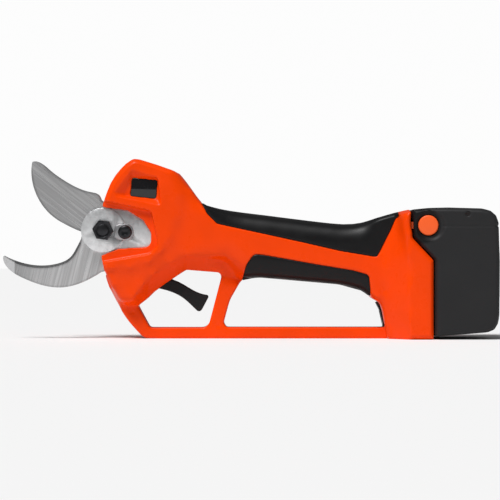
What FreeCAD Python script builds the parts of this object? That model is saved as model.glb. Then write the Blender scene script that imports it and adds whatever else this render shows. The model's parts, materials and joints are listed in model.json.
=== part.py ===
"""Battery-powered one-hand pruning shears with a bypass blade, bevel drive and slide-on battery.

Row frame: millimetres, +Z up, the flat underside at Z = 0, the blades toward -X, the battery
toward +X.  Three local frames are used:
  HANDLE  X from the blade pivot, Z from the underside, Y across the tool
  PIVOT   origin on the blade pivot
  DRIVE   origin on the blade pivot, X along the tilted motor axis
"""
import math
import os

import FreeCAD, Part
import Sketcher
from FreeCAD import Placement, Rotation, Vector

DIMENSIONS = [
    ("hook_reach", 63.2, "pivot to the tip of the hook"),
    ("pivot_height", 67.9, "pivot above the underside"),
    ("drive_tilt", 5.7, "motor axis down toward the rear, degrees"),
    ("head_half", 21, "half width of the head"),
    ("grip_half", 19, "half width of the handle"),
    ("guard_half", 9, "half width of the guard bars"),
    ("rear_half", 32, "half width of the battery seat"),
    ("wall", 2.2, "shell wall"),
    ("grip_skin", 2, "soft grip over the shell"),
    ("cheek_face", 15.5, "outer face of the side plate from the middle"),
    ("plate_thickness", 4, "side plate, hook and head frame plates"),
    ("blade_thickness", 3.5, "moving blade"),
    ("blade_gap", 0.05, "between the hook and the moving blade"),
    ("hub_back", 11, "back face of the gear hub"),
    ("bolt_radius", 4, "pivot bolt shank"),
    ("thread_radius", 3.5, "pivot bolt thread"),
    ("bush_radius", 5.5, "outside of the pivot bush"),
    ("hub_radius", 12, "gear hub"),
    ("boss_radius", 13.9, "round boss on the side plate"),
    ("nut_flats", 11.5, "pivot nut across flats"),
    ("nut_thickness", 5, "pivot nut"),
    ("running_gap", 0.04, "radial gap of a running fit"),
    ("clear_gap", 0.4, "gap between pieces that move apart"),
    ("bevel_module", 1.2, "bevel teeth at the outer end"),
    ("bevel_face", 6.5, "bevel tooth length"),
    ("planet_module", 0.7, "planetary teeth"),
    ("shaft_radius", 4, "output shaft"),
    ("bearing_radius", 9.5, "output bearing outside"),
    ("case_radius", 15, "ring gear case"),
    ("motor_radius", 14, "motor can"),
    ("motor_length", 48, "motor can"),
    ("motor_shaft_radius", 1.585, "motor shaft"),
    ("pin_radius", 1.5, "planet and trigger pins"),
    ("trigger_half", 6, "half width of the trigger"),
    ("cell_radius", 9.1, "18650 cell"),
    ("cell_length", 65, "18650 cell"),
    ("button_radius", 6.2, "release button"),
    ("button_bowl", 9, "finger hollow around the release button"),
    ("screw_radius", 1.5, "shell screws"),
    ("screw_head", 3, "shell screw head"),
]
PLANETS = 3
SUN_TEETH = 12
RING_TEETH = 36
PINION_TEETH = 10
BEVEL_TEETH = 40
STAGES = (("2", 37.0), ("1", 48.5))      # name and front face of each planet carrier
PRESSURE = math.radians(20)
TOP = 200.0                              # clear of everything, for open-ended cuts
TAU = 2 * math.pi

doc = FreeCAD.newDocument("pruning_shears")
sheet = doc.addObject("Spreadsheet::Sheet", "Dimensions")
for row, (alias, number, note) in enumerate(DIMENSIONS, 1):
    sheet.set("A%d" % row, alias)
    sheet.set("B%d" % row, str(number))
    sheet.setAlias("B%d" % row, alias)
    sheet.set("C%d" % row, note)
doc.recompute()


class Size:
    """A length with both its value and the spreadsheet expression that gives it."""

    def __init__(self, value, text):
        self.value = float(value)
        self.text = text

    def __float__(self):
        return self.value

    def joined(self, other, sign, value):
        return Size(value, "(%s %s %s)" % (self.text, sign, text_of(other)))

    def __add__(self, other):
        return self.joined(other, "+", self.value + float(other))

    def __radd__(self, other):
        return self + other

    def __sub__(self, other):
        return self.joined(other, "-", self.value - float(other))

    def __rsub__(self, other):
        return (-self) + other

    def __mul__(self, other):
        return self.joined(other, "*", self.value * float(other))

    def __rmul__(self, other):
        return self * other

    def __truediv__(self, other):
        return self.joined(other, "/", self.value / float(other))

    def __neg__(self):
        return Size(-self.value, "(0 - %s)" % self.text)


def text_of(number):
    """The expression text of a Size or a plain number."""
    return number.text if isinstance(number, Size) else "%.6f" % number


def dim(alias):
    """One driving dimension from the sheet."""
    return Size(sheet.get(alias), "Dimensions." + alias)


# Shared sizes that several pieces fit to
BATTERY_FRONT = 206.2
BATTERY_BACK = dim("cell_radius") * 4 + (BATTERY_FRONT + 4.0)
PIVOT_X = (dim("hook_reach") - BATTERY_BACK) / 2
LIFT = dim("pivot_height") - 67.9        # the guard grows with the pivot's height
GROUND = -LIFT                           # the underside in the HANDLE frame
HOOK_FAR = -dim("cheek_face") + dim("plate_thickness") * 2
BLADE_NEAR = HOOK_FAR + dim("blade_gap")
BLADE_FAR = BLADE_NEAR + dim("blade_thickness")
FRAME_NEAR = dim("hub_back") + 1
BEVEL_RADIUS = dim("bevel_module") * (BEVEL_TEETH / 2)
PINION_RADIUS = dim("bevel_module") * (PINION_TEETH / 2)
ORBIT = dim("planet_module") * SUN_TEETH
PIVOT_Z = 67.9                           # pivot in the HANDLE frame
CASE_FRONT = 36.0
CASE_BACK = 58.5
PLATE_BACK = 62.0
MOTOR_BACK = dim("motor_length") + PLATE_BACK

nodes = []


def node(thing, name):
    """Register a finished sub-part under its node name."""
    thing.Label = name
    nodes.append(thing)
    return thing


def place(thing, frame):
    """Put a sub-part into its local frame, bound to the sheet."""
    turn = float(dim("drive_tilt")) if frame == "DRIVE" else 0.0
    rise = LIFT if frame == "HANDLE" else dim("pivot_height")
    base = Vector(float(PIVOT_X), 0, float(rise))
    thing.Placement = Placement(base, Rotation(Vector(0, 1, 0), turn))
    thing.setExpression("Placement.Base.x", PIVOT_X.text)
    thing.setExpression("Placement.Base.z", rise.text)
    if frame == "DRIVE":
        thing.setExpression("Placement.Rotation.Angle", dim("drive_tilt").text)


# ---------------------------------------------------------------- outlines

def rounded_corner(before, corner, after, radius):
    """Arc that rounds a corner, as start, middle and end points."""
    toward = (before - corner).normalize()
    away = (after - corner).normalize()
    half = math.acos(max(-1.0, min(1.0, toward.dot(away)))) / 2
    reach = radius / math.tan(half)
    middle = (toward + away).normalize()
    centre = corner + middle * (radius / math.sin(half))
    return corner + toward * reach, centre - middle * radius, corner + away * reach


def curves(path):
    """Geometry of a closed path: (a, b) is a corner, (a, b, r) a rounded corner and
    [(a, b), ...] a smooth curve from the point before it through the points it lists."""
    steps = []
    for leg in path:
        if isinstance(leg, list):
            steps.append(("curve", [Vector(float(p[0]), float(p[1]), 0) for p in leg], 0))
        else:
            radius = float(leg[2]) if len(leg) > 2 else 0.0
            steps.append(("corner", [Vector(float(leg[0]), float(leg[1]), 0)], radius))
    made = []
    count = len(steps)
    arcs = {}
    for i, (kind, points, radius) in enumerate(steps):
        if kind == "corner" and radius > 0:
            before = steps[i - 1][1][-1]
            after = steps[(i + 1) % count][1][0]
            arcs[i] = rounded_corner(before, points[0], after, radius)
    for i, (kind, points, radius) in enumerate(steps):
        last = arcs[(i - 1) % count][2] if (i - 1) % count in arcs else steps[i - 1][1][-1]
        if kind == "curve":
            spline = Part.BSplineCurve()
            spline.interpolate([last] + points)
            made.append(spline)
            continue
        first = arcs[i][0] if i in arcs else points[0]
        if last.distanceToPoint(first) > 1e-6:
            made.append(Part.LineSegment(last, first))
        if i in arcs:
            made.append(Part.Arc(*arcs[i]))
    return made


def inset(path, depth):
    """Corner path moved inward, keeping the same corners."""
    points = [Vector(float(p[0]), float(p[1]), 0) for p in path]
    area = sum(a.x * b.y - b.x * a.y for a, b in zip(points, points[1:] + points[:1]))
    turn = 1 if area > 0 else -1
    moved = []
    for i, here in enumerate(points):
        into = (here - points[i - 1]).normalize()
        out = (points[(i + 1) % len(points)] - here).normalize()
        bisector = Vector(-into.y - out.y, into.x + out.x, 0) * turn
        share = bisector.Length / 2
        moved.append(here + bisector.normalize() * (depth / max(share, 0.6)))
    return [(p.x, p.y) for p in moved]


def hexagon(flats, turn=0.0, centre=(0, 0)):
    """Hexagon outline by its width across flats."""
    radius = float(flats) / math.sqrt(3)
    return [(centre[0] + radius * math.cos(math.radians(60 * i + turn)),
             centre[1] + radius * math.sin(math.radians(60 * i + turn))) for i in range(6)]


# ---------------------------------------------------------------- PartDesign helpers

def origin_plane(body, role):
    """One of a body's own origin planes."""
    for feature in body.Origin.OriginFeatures:
        if feature.Role == role:
            return feature


def sketch_on(body, role, offset, paths, circles):
    """Sketch of closed paths and circles; sizes from the sheet stay bound."""
    sketch = body.newObject("Sketcher::SketchObject", "Profile")
    sketch.AttachmentSupport = [(origin_plane(body, role), "")]
    sketch.MapMode = "FlatFace"
    for axis, value in zip("xyz", offset):
        if isinstance(value, Size) or value:
            sketch.setExpression("AttachmentOffset.Base." + axis, text_of(value))
    for path in paths:
        start = sketch.GeometryCount
        sketch.addGeometry(curves(path), False)
        if all(isinstance(p, tuple) and len(p) == 2 for p in path):
            bind_corners(sketch, path, start)
    for across, up, radius in circles:
        centre = Vector(float(across), float(up), 0)
        index = sketch.addGeometry(Part.Circle(centre, Vector(0, 0, 1), float(radius)), False)
        held = sketch.addConstraint(Sketcher.Constraint("Radius", index, float(radius)))
        if isinstance(radius, Size):
            sketch.setExpression("Constraints[%d]" % held, radius.text)
        for kind, value in (("DistanceX", across), ("DistanceY", up)):
            if isinstance(value, Size):
                rule = Sketcher.Constraint(kind, -1, 1, index, 3, float(value))
                sketch.setExpression("Constraints[%d]" % sketch.addConstraint(rule), value.text)
    return sketch


def bind_corners(sketch, path, start):
    """Join a polygon's corners and bind the ones that come from the sheet."""
    if not any(isinstance(value, Size) for point in path for value in point):
        return
    count = len(path)
    for i in range(count):
        follows = start + (i + 1) % count
        sketch.addConstraint(Sketcher.Constraint("Coincident", start + i, 2, follows, 1))
    for i, point in enumerate(path):
        for kind, value in zip(("DistanceX", "DistanceY"), point):
            rule = Sketcher.Constraint(kind, -1, 1, start + i, 2, float(value))
            sketch.setExpression("Constraints[%d]" % sketch.addConstraint(rule), text_of(value))


def new_body(name):
    return doc.addObject("PartDesign::Body", name)


def pad(body, role, low, high, paths=(), circles=()):
    """Add material between two levels square to a plane; XZ levels are along +Y."""
    level = -high if role == "XZ_Plane" else low
    sketch = sketch_on(body, role, (0, 0, level), paths, circles)
    feature = body.newObject("PartDesign::Pad", "Pad")
    feature.Profile = sketch
    feature.setExpression("Length", text_of(high - low))
    return feature


def pocket(body, role, low, high, paths=(), circles=()):
    """Take material away between two levels square to a plane."""
    level = -low if role == "XZ_Plane" else high
    sketch = sketch_on(body, role, (0, 0, level), paths, circles)
    feature = body.newObject("PartDesign::Pocket", "Pocket")
    feature.Profile = sketch
    feature.setExpression("Length", text_of(high - low))
    return feature


def revolve(body, axis, path, at=(0, 0), angle=360.0):
    """Turn a profile about X, Y or Z. Profile points are (along, radius)."""
    if axis == "X":
        profile = path
        role, offset, line = "XY_Plane", (0, at[0], at[1]), "H_Axis"
    elif axis == "Y":
        profile = [(p[1], p[0]) for p in path]
        role, offset, line = "XY_Plane", (at[0], 0, at[1]), "V_Axis"
    else:
        profile = [(p[1], p[0]) for p in path]
        role, offset, line = "XZ_Plane", (at[0], 0, -at[1]), "V_Axis"
    sketch = sketch_on(body, role, offset, [profile], ())
    feature = body.newObject("PartDesign::Revolution", "Turn")
    feature.Profile = sketch
    feature.ReferenceAxis = (sketch, [line])
    feature.Angle = angle
    return feature


def turned(name, frame, axis, path, at=(0, 0)):
    """A turned sub-part."""
    body = new_body(name)
    revolve(body, axis, path, at)
    place(body, frame)
    return node(body, name)


def tube(name, frame, axis, low, high, inner, outer, at=(0, 0)):
    """A ring or, with no bore, a plain cylinder."""
    corners = [(low, inner), (low, outer), (high, outer), (high, inner)]
    return turned(name, frame, axis, corners, at)


def plate(name, frame, role, low, high, paths, circles=()):
    """A flat sub-part with holes."""
    body = new_body(name)
    pad(body, role, low, high, paths, circles)
    place(body, frame)
    return node(body, name)


# ---------------------------------------------------------------- solid helpers

def wire_of(path, level):
    """Closed wire in the X-Z plane at one Y level."""
    edges = []
    for curve in curves(path):
        edges.append(curve.toShape())
    wire = Part.Wire(Part.__sortEdges__(edges))
    wire.rotate(Vector(0, 0, 0), Vector(1, 0, 0), 90)
    wire.translate(Vector(0, float(level), 0))
    return wire


def slab(path, low, high):
    """X-Z outline extruded from one Y level to another."""
    face = Part.Face(wire_of(path, low))
    return face.extrude(Vector(0, float(high) - float(low), 0))


def taper(low_path, low, high_path, high):
    """Flat-faced solid between two outlines with matching corners."""
    near = [Vector(float(p[0]), float(low), float(p[1])) for p in low_path]
    far = [Vector(float(p[0]), float(high), float(p[1])) for p in high_path]
    faces = [flat_face(near), flat_face(far)]
    for i in range(len(near)):
        a, b, c, d = near[i - 1], near[i], far[i], far[i - 1]
        out_of_plane = abs((b - a).cross(c - a).dot(d - a))
        if out_of_plane < 1e-6:
            faces.append(flat_face([a, b, c, d]))
        else:
            faces += [flat_face([a, b, c]), flat_face([a, c, d])]
    shape = Part.Solid(Part.Shell(faces))
    if shape.Volume < 0:
        shape.reverse()
    return shape


def flat_face(corners):
    return Part.Face(Part.makePolygon(corners + corners[:1]))


def shrunk_slab(path, depth, low, high):
    """Outline moved inward by a wall and extruded."""
    wire = Part.Wire(wire_of(path, 0))
    offset = wire.makeOffset2D(-float(depth), 2)
    face = Part.Face(offset)
    return face.translated(Vector(0, float(low), 0)).extrude(Vector(0, float(high) - float(low), 0))


def block(x0, x1, y0, y1, z0, z1):
    """Box by its six faces."""
    size = [float(b) - float(a) for a, b in ((x0, x1), (y0, y1), (z0, z1))]
    return Part.makeBox(*size, Vector(float(x0), float(y0), float(z0)))


def rod(radius, start, end):
    """Cylinder between two points."""
    first = Vector(*[float(v) for v in start])
    run = Vector(*[float(v) for v in end]) - first
    return Part.makeCylinder(float(radius), run.Length, first, run)


def along_drive(shape):
    """Turn a DRIVE frame solid into the HANDLE frame."""
    moved = shape.copy()
    moved.rotate(Vector(0, 0, 0), Vector(0, 1, 0), float(dim("drive_tilt")))
    moved.translate(Vector(0, 0, PIVOT_Z))
    return moved


def solid(name, frame, shape):
    """A sub-part made directly as a solid."""
    thing = doc.addObject("Part::Feature", name)
    thing.Shape = shape if shape.Placement.isIdentity() else Part.makeCompound([shape])
    place(thing, frame)
    return node(thing, name)


def grouped(name, frame, makers):
    """Several separate solids in one node."""
    return solid(name, frame, Part.makeCompound(list(makers)))


# ---------------------------------------------------------------- blades and pivot

HOOK_SCREW = (19.7, -21.9)               # clear of the sector gear's sweep


def reach(x):
    """Blade and hook length follow the hook's reach."""
    return dim("hook_reach") * (x / 63.2)


def hook_blade():
    """Fixed hook with its tail between the cheeks."""
    up = PIVOT_Z
    path = [
        (reach(-63.2), 50.8 - up),
        [(reach(-61.6), 46.3 - up), (reach(-49.1), 37.3 - up), (reach(-36.7), 33.0 - up),
         (reach(-24.3), 32.2 - up), (-12.0, 35.8 - up), (-1.5, 41.7 - up)],
        (8.0, -24.6),
        (16.5, -26.6, 2),
        (23.8, -26.0, 3),
        (23.8, 2.0, 2),
        (11.0, 76.0 - up, 2),
        [(0.0, 12.4), (-9.0, 8.2), (-12.4, 0.5)],
        [(-13.6, -3.5), (-17.2, -11.0), (-21.2, -17.0), (reach(-30.0), -21.1),
         (reach(-39.8), -22.1), (reach(-50.0), -20.7), (reach(-62.6), -15.8)],
    ]
    body = new_body("hook_blade")
    pad(body, "XZ_Plane", -dim("cheek_face") + dim("plate_thickness"), HOOK_FAR, [path],
        [(0, 0, dim("bolt_radius")), HOOK_SCREW + (2.5,)])
    place(body, "PIVOT")
    return node(body, "hook_blade")


def cutting_blade():
    """Moving blade with its root disc, bored for the bush and the drive dowels."""
    path = [
        (-12.4, -1.5),
        [(-18.2, 0.7), (reach(-24.3), 3.7), (reach(-30.5), 7.4), (reach(-39.8), 17.3),
         (reach(-43.2), 24.1), (reach(-45.6), 36.0), (reach(-45.0), 42.9)],
        [(reach(-43.2), 43.3), (reach(-39.8), 42.3), (reach(-33.6), 37.4), (reach(-27.4), 32.8),
         (-15.1, 26.0), (-8.9, 24.1), (-4.2, 22.9), (-1.6, 19.0)],
        (2.5, 16.0, 3),
        [(9.0, 8.8), (12.5, 0.0), (8.8, -8.8), (0.0, -12.5), (-8.8, -8.8), (-12.4, -1.5)],
    ]
    body = new_body("cutting_blade")
    dowels = [(x, y, 2.0) for x, y in dowel_spots()]
    pad(body, "XZ_Plane", BLADE_NEAR, BLADE_FAR, [path], [(0, 0, dim("bush_radius"))] + dowels)
    place(body, "PIVOT")
    return node(body, "cutting_blade")


def dowel_spots():
    """Three drive dowels around the pivot."""
    radius = 9.0
    return [(radius * math.cos(TAU * i / 3 + 0.5), radius * math.sin(TAU * i / 3 + 0.5))
            for i in range(3)]


def blade_dowels():
    far = float(BLADE_FAR) + 7
    rods = [rod(2.0, (x, BLADE_NEAR, z), (x, far, z)) for x, z in dowel_spots()]
    return grouped("blade_dowels", "PIVOT", rods)


def pivot_bush():
    return tube("pivot_bush", "PIVOT", "Y", BLADE_NEAR, dim("hub_back"),
                dim("bolt_radius") + dim("running_gap"), dim("bush_radius"))


def thrust_washer():
    return tube("thrust_washer", "PIVOT", "Y", dim("hub_back") + 0.05, FRAME_NEAR,
                dim("bolt_radius"), 9.0)


def pivot_bolt():
    """Shouldered bolt with a socket head behind the far cheek."""
    shoulder = -dim("cheek_face") + dim("plate_thickness")
    seat = FRAME_NEAR + dim("plate_thickness")
    head = seat + 3.5
    end = -dim("cheek_face") - dim("nut_thickness") - 0.9
    path = [
        (end, 0), (end, dim("thread_radius")), (shoulder, dim("thread_radius")),
        (shoulder, dim("bolt_radius")), (seat, dim("bolt_radius")), (seat, 7.5), (head, 7.5),
        (head, 0),
    ]
    body = new_body("pivot_bolt")
    revolve(body, "Y", path)
    pocket(body, "XZ_Plane", head - 2.2, head + 0.1, [hexagon(6.0)])
    place(body, "PIVOT")
    return node(body, "pivot_bolt")


def pivot_nut():
    """Hexagon nut with a round washer face inside its rim."""
    near = -dim("cheek_face") - 0.8 - dim("nut_thickness")
    far = -dim("cheek_face") - 0.8
    body = new_body("pivot_nut")
    pad(body, "XZ_Plane", near, far, [hexagon(dim("nut_flats"), -7.0)],
        [(0, 0, dim("thread_radius"))])
    pocket(body, "XZ_Plane", near, near + 0.5, (), [(0, 0, 4.4)])
    place(body, "PIVOT")
    return node(body, "pivot_nut")


def cheek_path():
    """Outline shared by the side plate and the far cheek, in the DRIVE frame."""
    boss = float(dim("boss_radius")) - 0.4
    return [
        (0.0, boss),
        [(-boss * 0.71, boss * 0.71), (-boss, 0.0), (-boss * 0.71, -boss * 0.71), (0.0, -boss)],
        (12.0, -14.8, 3),
        (36.0, -14.8, 2),
        (36.0, 14.8, 2),
        (12.0, 14.8, 3),
    ]


def side_plate():
    """Light-alloy cheek on the near side with its round boss."""
    near = -dim("cheek_face")
    body = new_body("side_plate")
    pad(body, "XZ_Plane", near, near + dim("plate_thickness"), [cheek_path()],
        [(0, 0, dim("thread_radius")), (31.0, 11.5, 1.6), (31.0, -11.5, 1.6)])
    pad(body, "XZ_Plane", near - 0.8, near + dim("plate_thickness"), (),
        [(0, 0, dim("boss_radius")), (0, 0, dim("thread_radius"))])
    pocket(body, "XZ_Plane", near - 0.9, near, (), [(13.8, 0.1, 5.6)])
    pocket(body, "XZ_Plane", near, near + dim("plate_thickness"), (), [(13.8, 0.1, 2.1)])
    for across in (11.5, -11.5):
        pocket(body, "XZ_Plane", near, near + 1.8, (), [(31.0, across, 2.8)])
    place(body, "DRIVE")
    return node(body, "side_plate")


def nut_lock_plate():
    """Thin keyhole plate that stops the nut turning, held by the lock screw."""
    near = -dim("cheek_face") - 0.8
    path = [(7.4, 3.4), (9.6, 4.7), (13.8, 5.3), [(17.6, 3.9), (19.1, 0.1), (17.6, -3.7),
            (13.8, -5.1)], (9.6, -4.7), (7.4, -3.4), (6.9, 0.0)]
    body = new_body("nut_lock_plate")
    pad(body, "XZ_Plane", near - 1.2, near, [path], [(13.8, 0.1, 2.1)])
    place(body, "DRIVE")
    return node(body, "nut_lock_plate")


def lock_screw():
    """Button screw with a hexagon socket beside the nut."""
    seat = -dim("cheek_face") - 2.0
    face = seat - 2.4
    body = new_body("lock_screw")
    revolve(body, "Y", [(face, 0), (face, 3.4), (face + 0.9, 4.35), (seat, 4.35), (seat, 2.05),
                        (seat + 5.9, 2.05), (seat + 5.9, 0)], (13.8, 0.1))
    pocket(body, "XZ_Plane", face - 0.1, face + 1.6, [hexagon(3.6, 0.0, (13.8, 0.1))])
    place(body, "DRIVE")
    return node(body, "lock_screw")


def head_frame():
    """Cast far cheek with the bearing block for the output shaft."""
    near = FRAME_NEAR
    block_near = -dim("cheek_face") + dim("plate_thickness")
    body = new_body("head_frame")
    pad(body, "XZ_Plane", near, near + dim("plate_thickness"), [cheek_path()],
        [(0, 0, dim("bolt_radius"))])
    pad(body, "XZ_Plane", block_near, near,
        [[(26.0, -14.8), (CASE_FRONT, -14.8), (CASE_FRONT, 14.8), (26.0, 14.8)]])
    pocket(body, "YZ_Plane", 20.0, CASE_FRONT + 1, (), [(0, 0, dim("shaft_radius") + 2)])
    pocket(body, "YZ_Plane", 27.5, CASE_FRONT + 1, (), [(0, 0, dim("bearing_radius"))])
    for across in (11.5, -11.5):
        pocket(body, "XZ_Plane", block_near - 1, block_near + 5, (), [(31.0, across, 1.5)])
    pocket(body, "YZ_Plane", 20.0, 27.6, (), [(0, 0, 7.6)])
    place(body, "DRIVE")
    return node(body, "head_frame")


def side_plate_screws():
    """Two screws that hold the side plate to the bearing block."""
    face = -float(dim("cheek_face"))
    made = []
    for across in (11.5, -11.5):
        screw = rod(1.5, (31.0, face + 0.5, across), (31.0, face + 8, across))
        head = rod(2.8, (31.0, face, across), (31.0, face + 1.8, across))
        made.append(screw.fuse(head).removeSplitter())
    return grouped("side_plate_screws", "DRIVE", made)


def hook_screw():
    """Cap screw through the hook's tail into a spacer on the far cheek."""
    x, z = HOOK_SCREW
    seat = -float(dim("cheek_face")) + float(dim("plate_thickness"))
    head = rod(4.2, (x, seat - 2.4, z), (x, seat, z))
    shank = rod(2.5, (x, seat - 0.01, z), (x, float(HOOK_FAR) + 0.01, z))
    spacer = rod(3.2, (x, float(HOOK_FAR), z), (x, float(FRAME_NEAR), z))
    return solid("hook_screw", "PIVOT", head.fuse([shank, spacer]).removeSplitter())


# ---------------------------------------------------------------- gears

def spur(teeth, module, inward=1, turn=0.0):
    """Outline of a spur gear; inward is -1 for a ring gear's inner outline."""
    pitch = float(module) * teeth / 2
    half = math.pi * float(module) * 0.21
    rise = float(module) * 0.9
    drop = float(module) * 1.2
    slope = math.tan(PRESSURE)
    levels = [(-drop * inward, half + drop * slope), (0.0, half), (rise * inward, half - rise * slope)]
    path = []
    for i in range(teeth):
        middle = TAU * i / teeth + turn
        for side in (-1, 1):
            for height, width in (levels if side < 0 else reversed(levels)):
                radius = pitch + height
                angle = middle + side * width / radius
                path.append((radius * math.cos(angle), radius * math.sin(angle)))
    return path


def bevel_tooth(radius, rise_axial, axial, height, depth):
    """One straight bevel tooth along the pitch cone, as a ruled solid.

    radius and axial place the outer end of the pitch line; rise_axial is the unit vector
    that points from the pitch line to the tooth tip."""
    half = math.pi * float(dim("bevel_module")) * 0.2
    slope = math.tan(PRESSURE)
    outer = Vector(radius, axial, 0)
    across = Vector(0, 0, 1)
    corners = []
    for level, side in ((-depth, -1), (height, -1), (height, 1), (-depth, 1)):
        corners.append(outer + rise_axial * level + across * side * (half - level * slope))
    share = 1 - float(dim("bevel_face")) / math.hypot(radius, axial)
    rims = []
    for scale in (1.0, share):
        rims.append(Part.makePolygon([c * scale for c in corners + corners[:1]]))
    return Part.makeLoft(rims, True, True)


def bevel_numbers():
    """Outer pitch point, tip direction and the inner end's scale of the bevel pair."""
    radius = float(BEVEL_RADIUS)
    axial = float(PINION_RADIUS)
    cone = math.hypot(radius, axial)
    toward_pinion = Vector(axial / cone, -radius / cone, 0)
    share = 1 - float(dim("bevel_face")) / cone
    return radius, axial, toward_pinion, share


def sector_gear():
    """Bevel sector on the blade hub; its teeth face the pinion."""
    radius, axial, tip, share = bevel_numbers()
    module = float(dim("bevel_module"))
    root = Vector(radius, axial, 0) - tip * (1.25 * module)
    inner = root * share
    hub_r = float(dim("hub_radius"))
    back = float(dim("hub_back"))
    profile = [(hub_r - 1, inner.y), (inner.x, inner.y), (root.x, root.y), (root.x, back),
               (hub_r - 1, back)]
    face = Part.Face(Part.makePolygon([Vector(x, y, 0) for x, y in profile + profile[:1]]))
    first, last = -80.0, 9.0
    web = face.revolve(Vector(0, 0, 0), Vector(0, -1, 0), last - first)
    web.rotate(Vector(0, 0, 0), Vector(0, -1, 0), first)
    hub = rod(hub_r, (0, BLADE_FAR, 0), (0, back, 0))
    shape = hub.fuse(web)
    pitch = 360.0 / BEVEL_TEETH
    mesh = -float(dim("drive_tilt"))
    tooth = bevel_tooth(radius, tip, axial, 0.85 * module, 1.35 * module)
    teeth = []
    for i in range(-8, 2):
        turned_tooth = tooth.copy()
        turned_tooth.rotate(Vector(0, 0, 0), Vector(0, -1, 0), mesh + (i + 0.5) * pitch)
        teeth.append(turned_tooth)
    shape = shape.fuse(teeth)
    shape = shape.cut(rod(dim("bush_radius"), (0, -20, 0), (0, 20, 0)))
    for x, z in dowel_spots():
        shape = shape.cut(rod(2.0, (x, -20, z), (x, float(BLADE_FAR) + 7, z)))
    return solid("sector_gear", "PIVOT", shape.removeSplitter())


def output_pinion():
    """Bevel pinion and output shaft in one piece."""
    radius, axial, tip, share = bevel_numbers()
    module = float(dim("bevel_module"))
    root = Vector(radius, axial, 0) + tip * (1.25 * module)
    inner = root * share
    shaft = float(dim("shaft_radius"))
    profile = [(inner.x, 0), (inner.x, inner.y), (root.x, root.y), (26.2, root.y), (26.2, 5.2),
               (27.5, 5.2), (27.5, shaft), (STAGES[0][1], shaft), (STAGES[0][1], 0)]
    face = Part.Face(Part.makePolygon([Vector(x, y, 0) for x, y in profile + profile[:1]]))
    shape = face.revolve(Vector(0, 0, 0), Vector(1, 0, 0), 360)
    tooth = bevel_tooth(radius, -tip, axial, 0.85 * module, 1.35 * module)
    teeth = []
    for i in range(PINION_TEETH):
        turned_tooth = tooth.copy()
        turned_tooth.rotate(Vector(0, 0, 0), Vector(1, 0, 0), i * 360.0 / PINION_TEETH)
        teeth.append(turned_tooth)
    return solid("output_pinion", "DRIVE", shape.fuse(teeth).removeSplitter())


def ring_gear_case():
    """Gear case with the ring teeth cut inside it."""
    body = new_body("ring_gear_case")
    pad(body, "YZ_Plane", CASE_FRONT, CASE_BACK, [spur(RING_TEETH, dim("planet_module"), -1)],
        [(0, 0, dim("case_radius"))])
    place(body, "DRIVE")
    return node(body, "ring_gear_case")


def planet_spots():
    """Planet centres around the drive axis."""
    return [(float(ORBIT) * math.cos(TAU * i / PLANETS), float(ORBIT) * math.sin(TAU * i / PLANETS))
            for i in range(PLANETS)]


def planet_carrier(name, front):
    """Carrier disc with three pins; the first stage's carrier also carries the next sun."""
    module = dim("planet_module")
    body = new_body("planet_carrier_" + name)
    pad(body, "YZ_Plane", front, front + 3, (), [(0, 0, 11.4)])
    for across, up in planet_spots():
        pad(body, "YZ_Plane", front + 3, front + 9.7, (), [(across, up, dim("pin_radius"))])
    if name == "1":
        pad(body, "YZ_Plane", STAGES[0][1] + 3.3, front, [spur(SUN_TEETH, module)])
    place(body, "DRIVE")
    return node(body, "planet_carrier_" + name)


def planet_gear(name, front, index):
    """One planet, half a tooth turned so that it meshes with the sun and the ring."""
    across, up = planet_spots()[index]
    turn = TAU * index / PLANETS + math.pi / SUN_TEETH
    path = [(across + x, up + y) for x, y in spur(SUN_TEETH, dim("planet_module"), 1, turn)]
    body = new_body("planet_%s%s" % (name, "abc"[index]))
    pad(body, "YZ_Plane", front + 3.3, front + 9.4, [path],
        [(across, up, dim("pin_radius") + dim("running_gap"))])
    place(body, "DRIVE")
    return node(body, "planet_%s%s" % (name, "abc"[index]))


# ---------------------------------------------------------------- motor

def motor_plate():
    """Plate between the gear case and the motor."""
    return plate("motor_plate", "DRIVE", "YZ_Plane", CASE_BACK, PLATE_BACK, [],
                 [(0, 0, dim("case_radius")), (0, 0, 3.2)])


def motor_can():
    """Motor can, open at the back, with a bearing seat in its front wall."""
    radius = dim("motor_radius")
    path = [(PLATE_BACK, 3.4), (PLATE_BACK, radius), (MOTOR_BACK, radius),
            (MOTOR_BACK, radius - 0.9), (PLATE_BACK + 1.2, radius - 0.9), (PLATE_BACK + 1.2, 6.0),
            (PLATE_BACK + 4.2, 6.0), (PLATE_BACK + 4.2, 4.8), (PLATE_BACK + 1.2, 4.8),
            (PLATE_BACK + 1.2, 3.4)]
    return turned("motor_can", "DRIVE", "X", path)


def motor_end_cap():
    radius = dim("motor_radius")
    path = [(MOTOR_BACK - 3, 4.8), (MOTOR_BACK - 3, 6.0), (MOTOR_BACK, 6.0), (MOTOR_BACK, radius),
            (MOTOR_BACK + 2, radius), (MOTOR_BACK + 3, radius - 1), (MOTOR_BACK + 3, 3.4),
            (MOTOR_BACK, 3.4), (MOTOR_BACK, 4.8)]
    return turned("motor_end_cap", "DRIVE", "X", path)


def shaft_bearings():
    """Output bearing and the two motor bearings."""
    gap = float(dim("running_gap"))
    output = float(dim("shaft_radius")) + gap
    motor = float(dim("motor_shaft_radius")) + gap
    made = []
    for front, wide, inner, outer in ((27.5, 6.0, output, float(dim("bearing_radius"))),
                                      (PLATE_BACK + 1.2, 3.0, motor, 4.8),
                                      (float(MOTOR_BACK) - 3.0, 3.0, motor, 4.8)):
        ring = rod(outer, (front, 0, 0), (front + wide, 0, 0))
        made.append(ring.cut(rod(inner, (front - 1, 0, 0), (front + wide + 1, 0, 0))))
    return grouped("shaft_bearings", "DRIVE", made)


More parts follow.
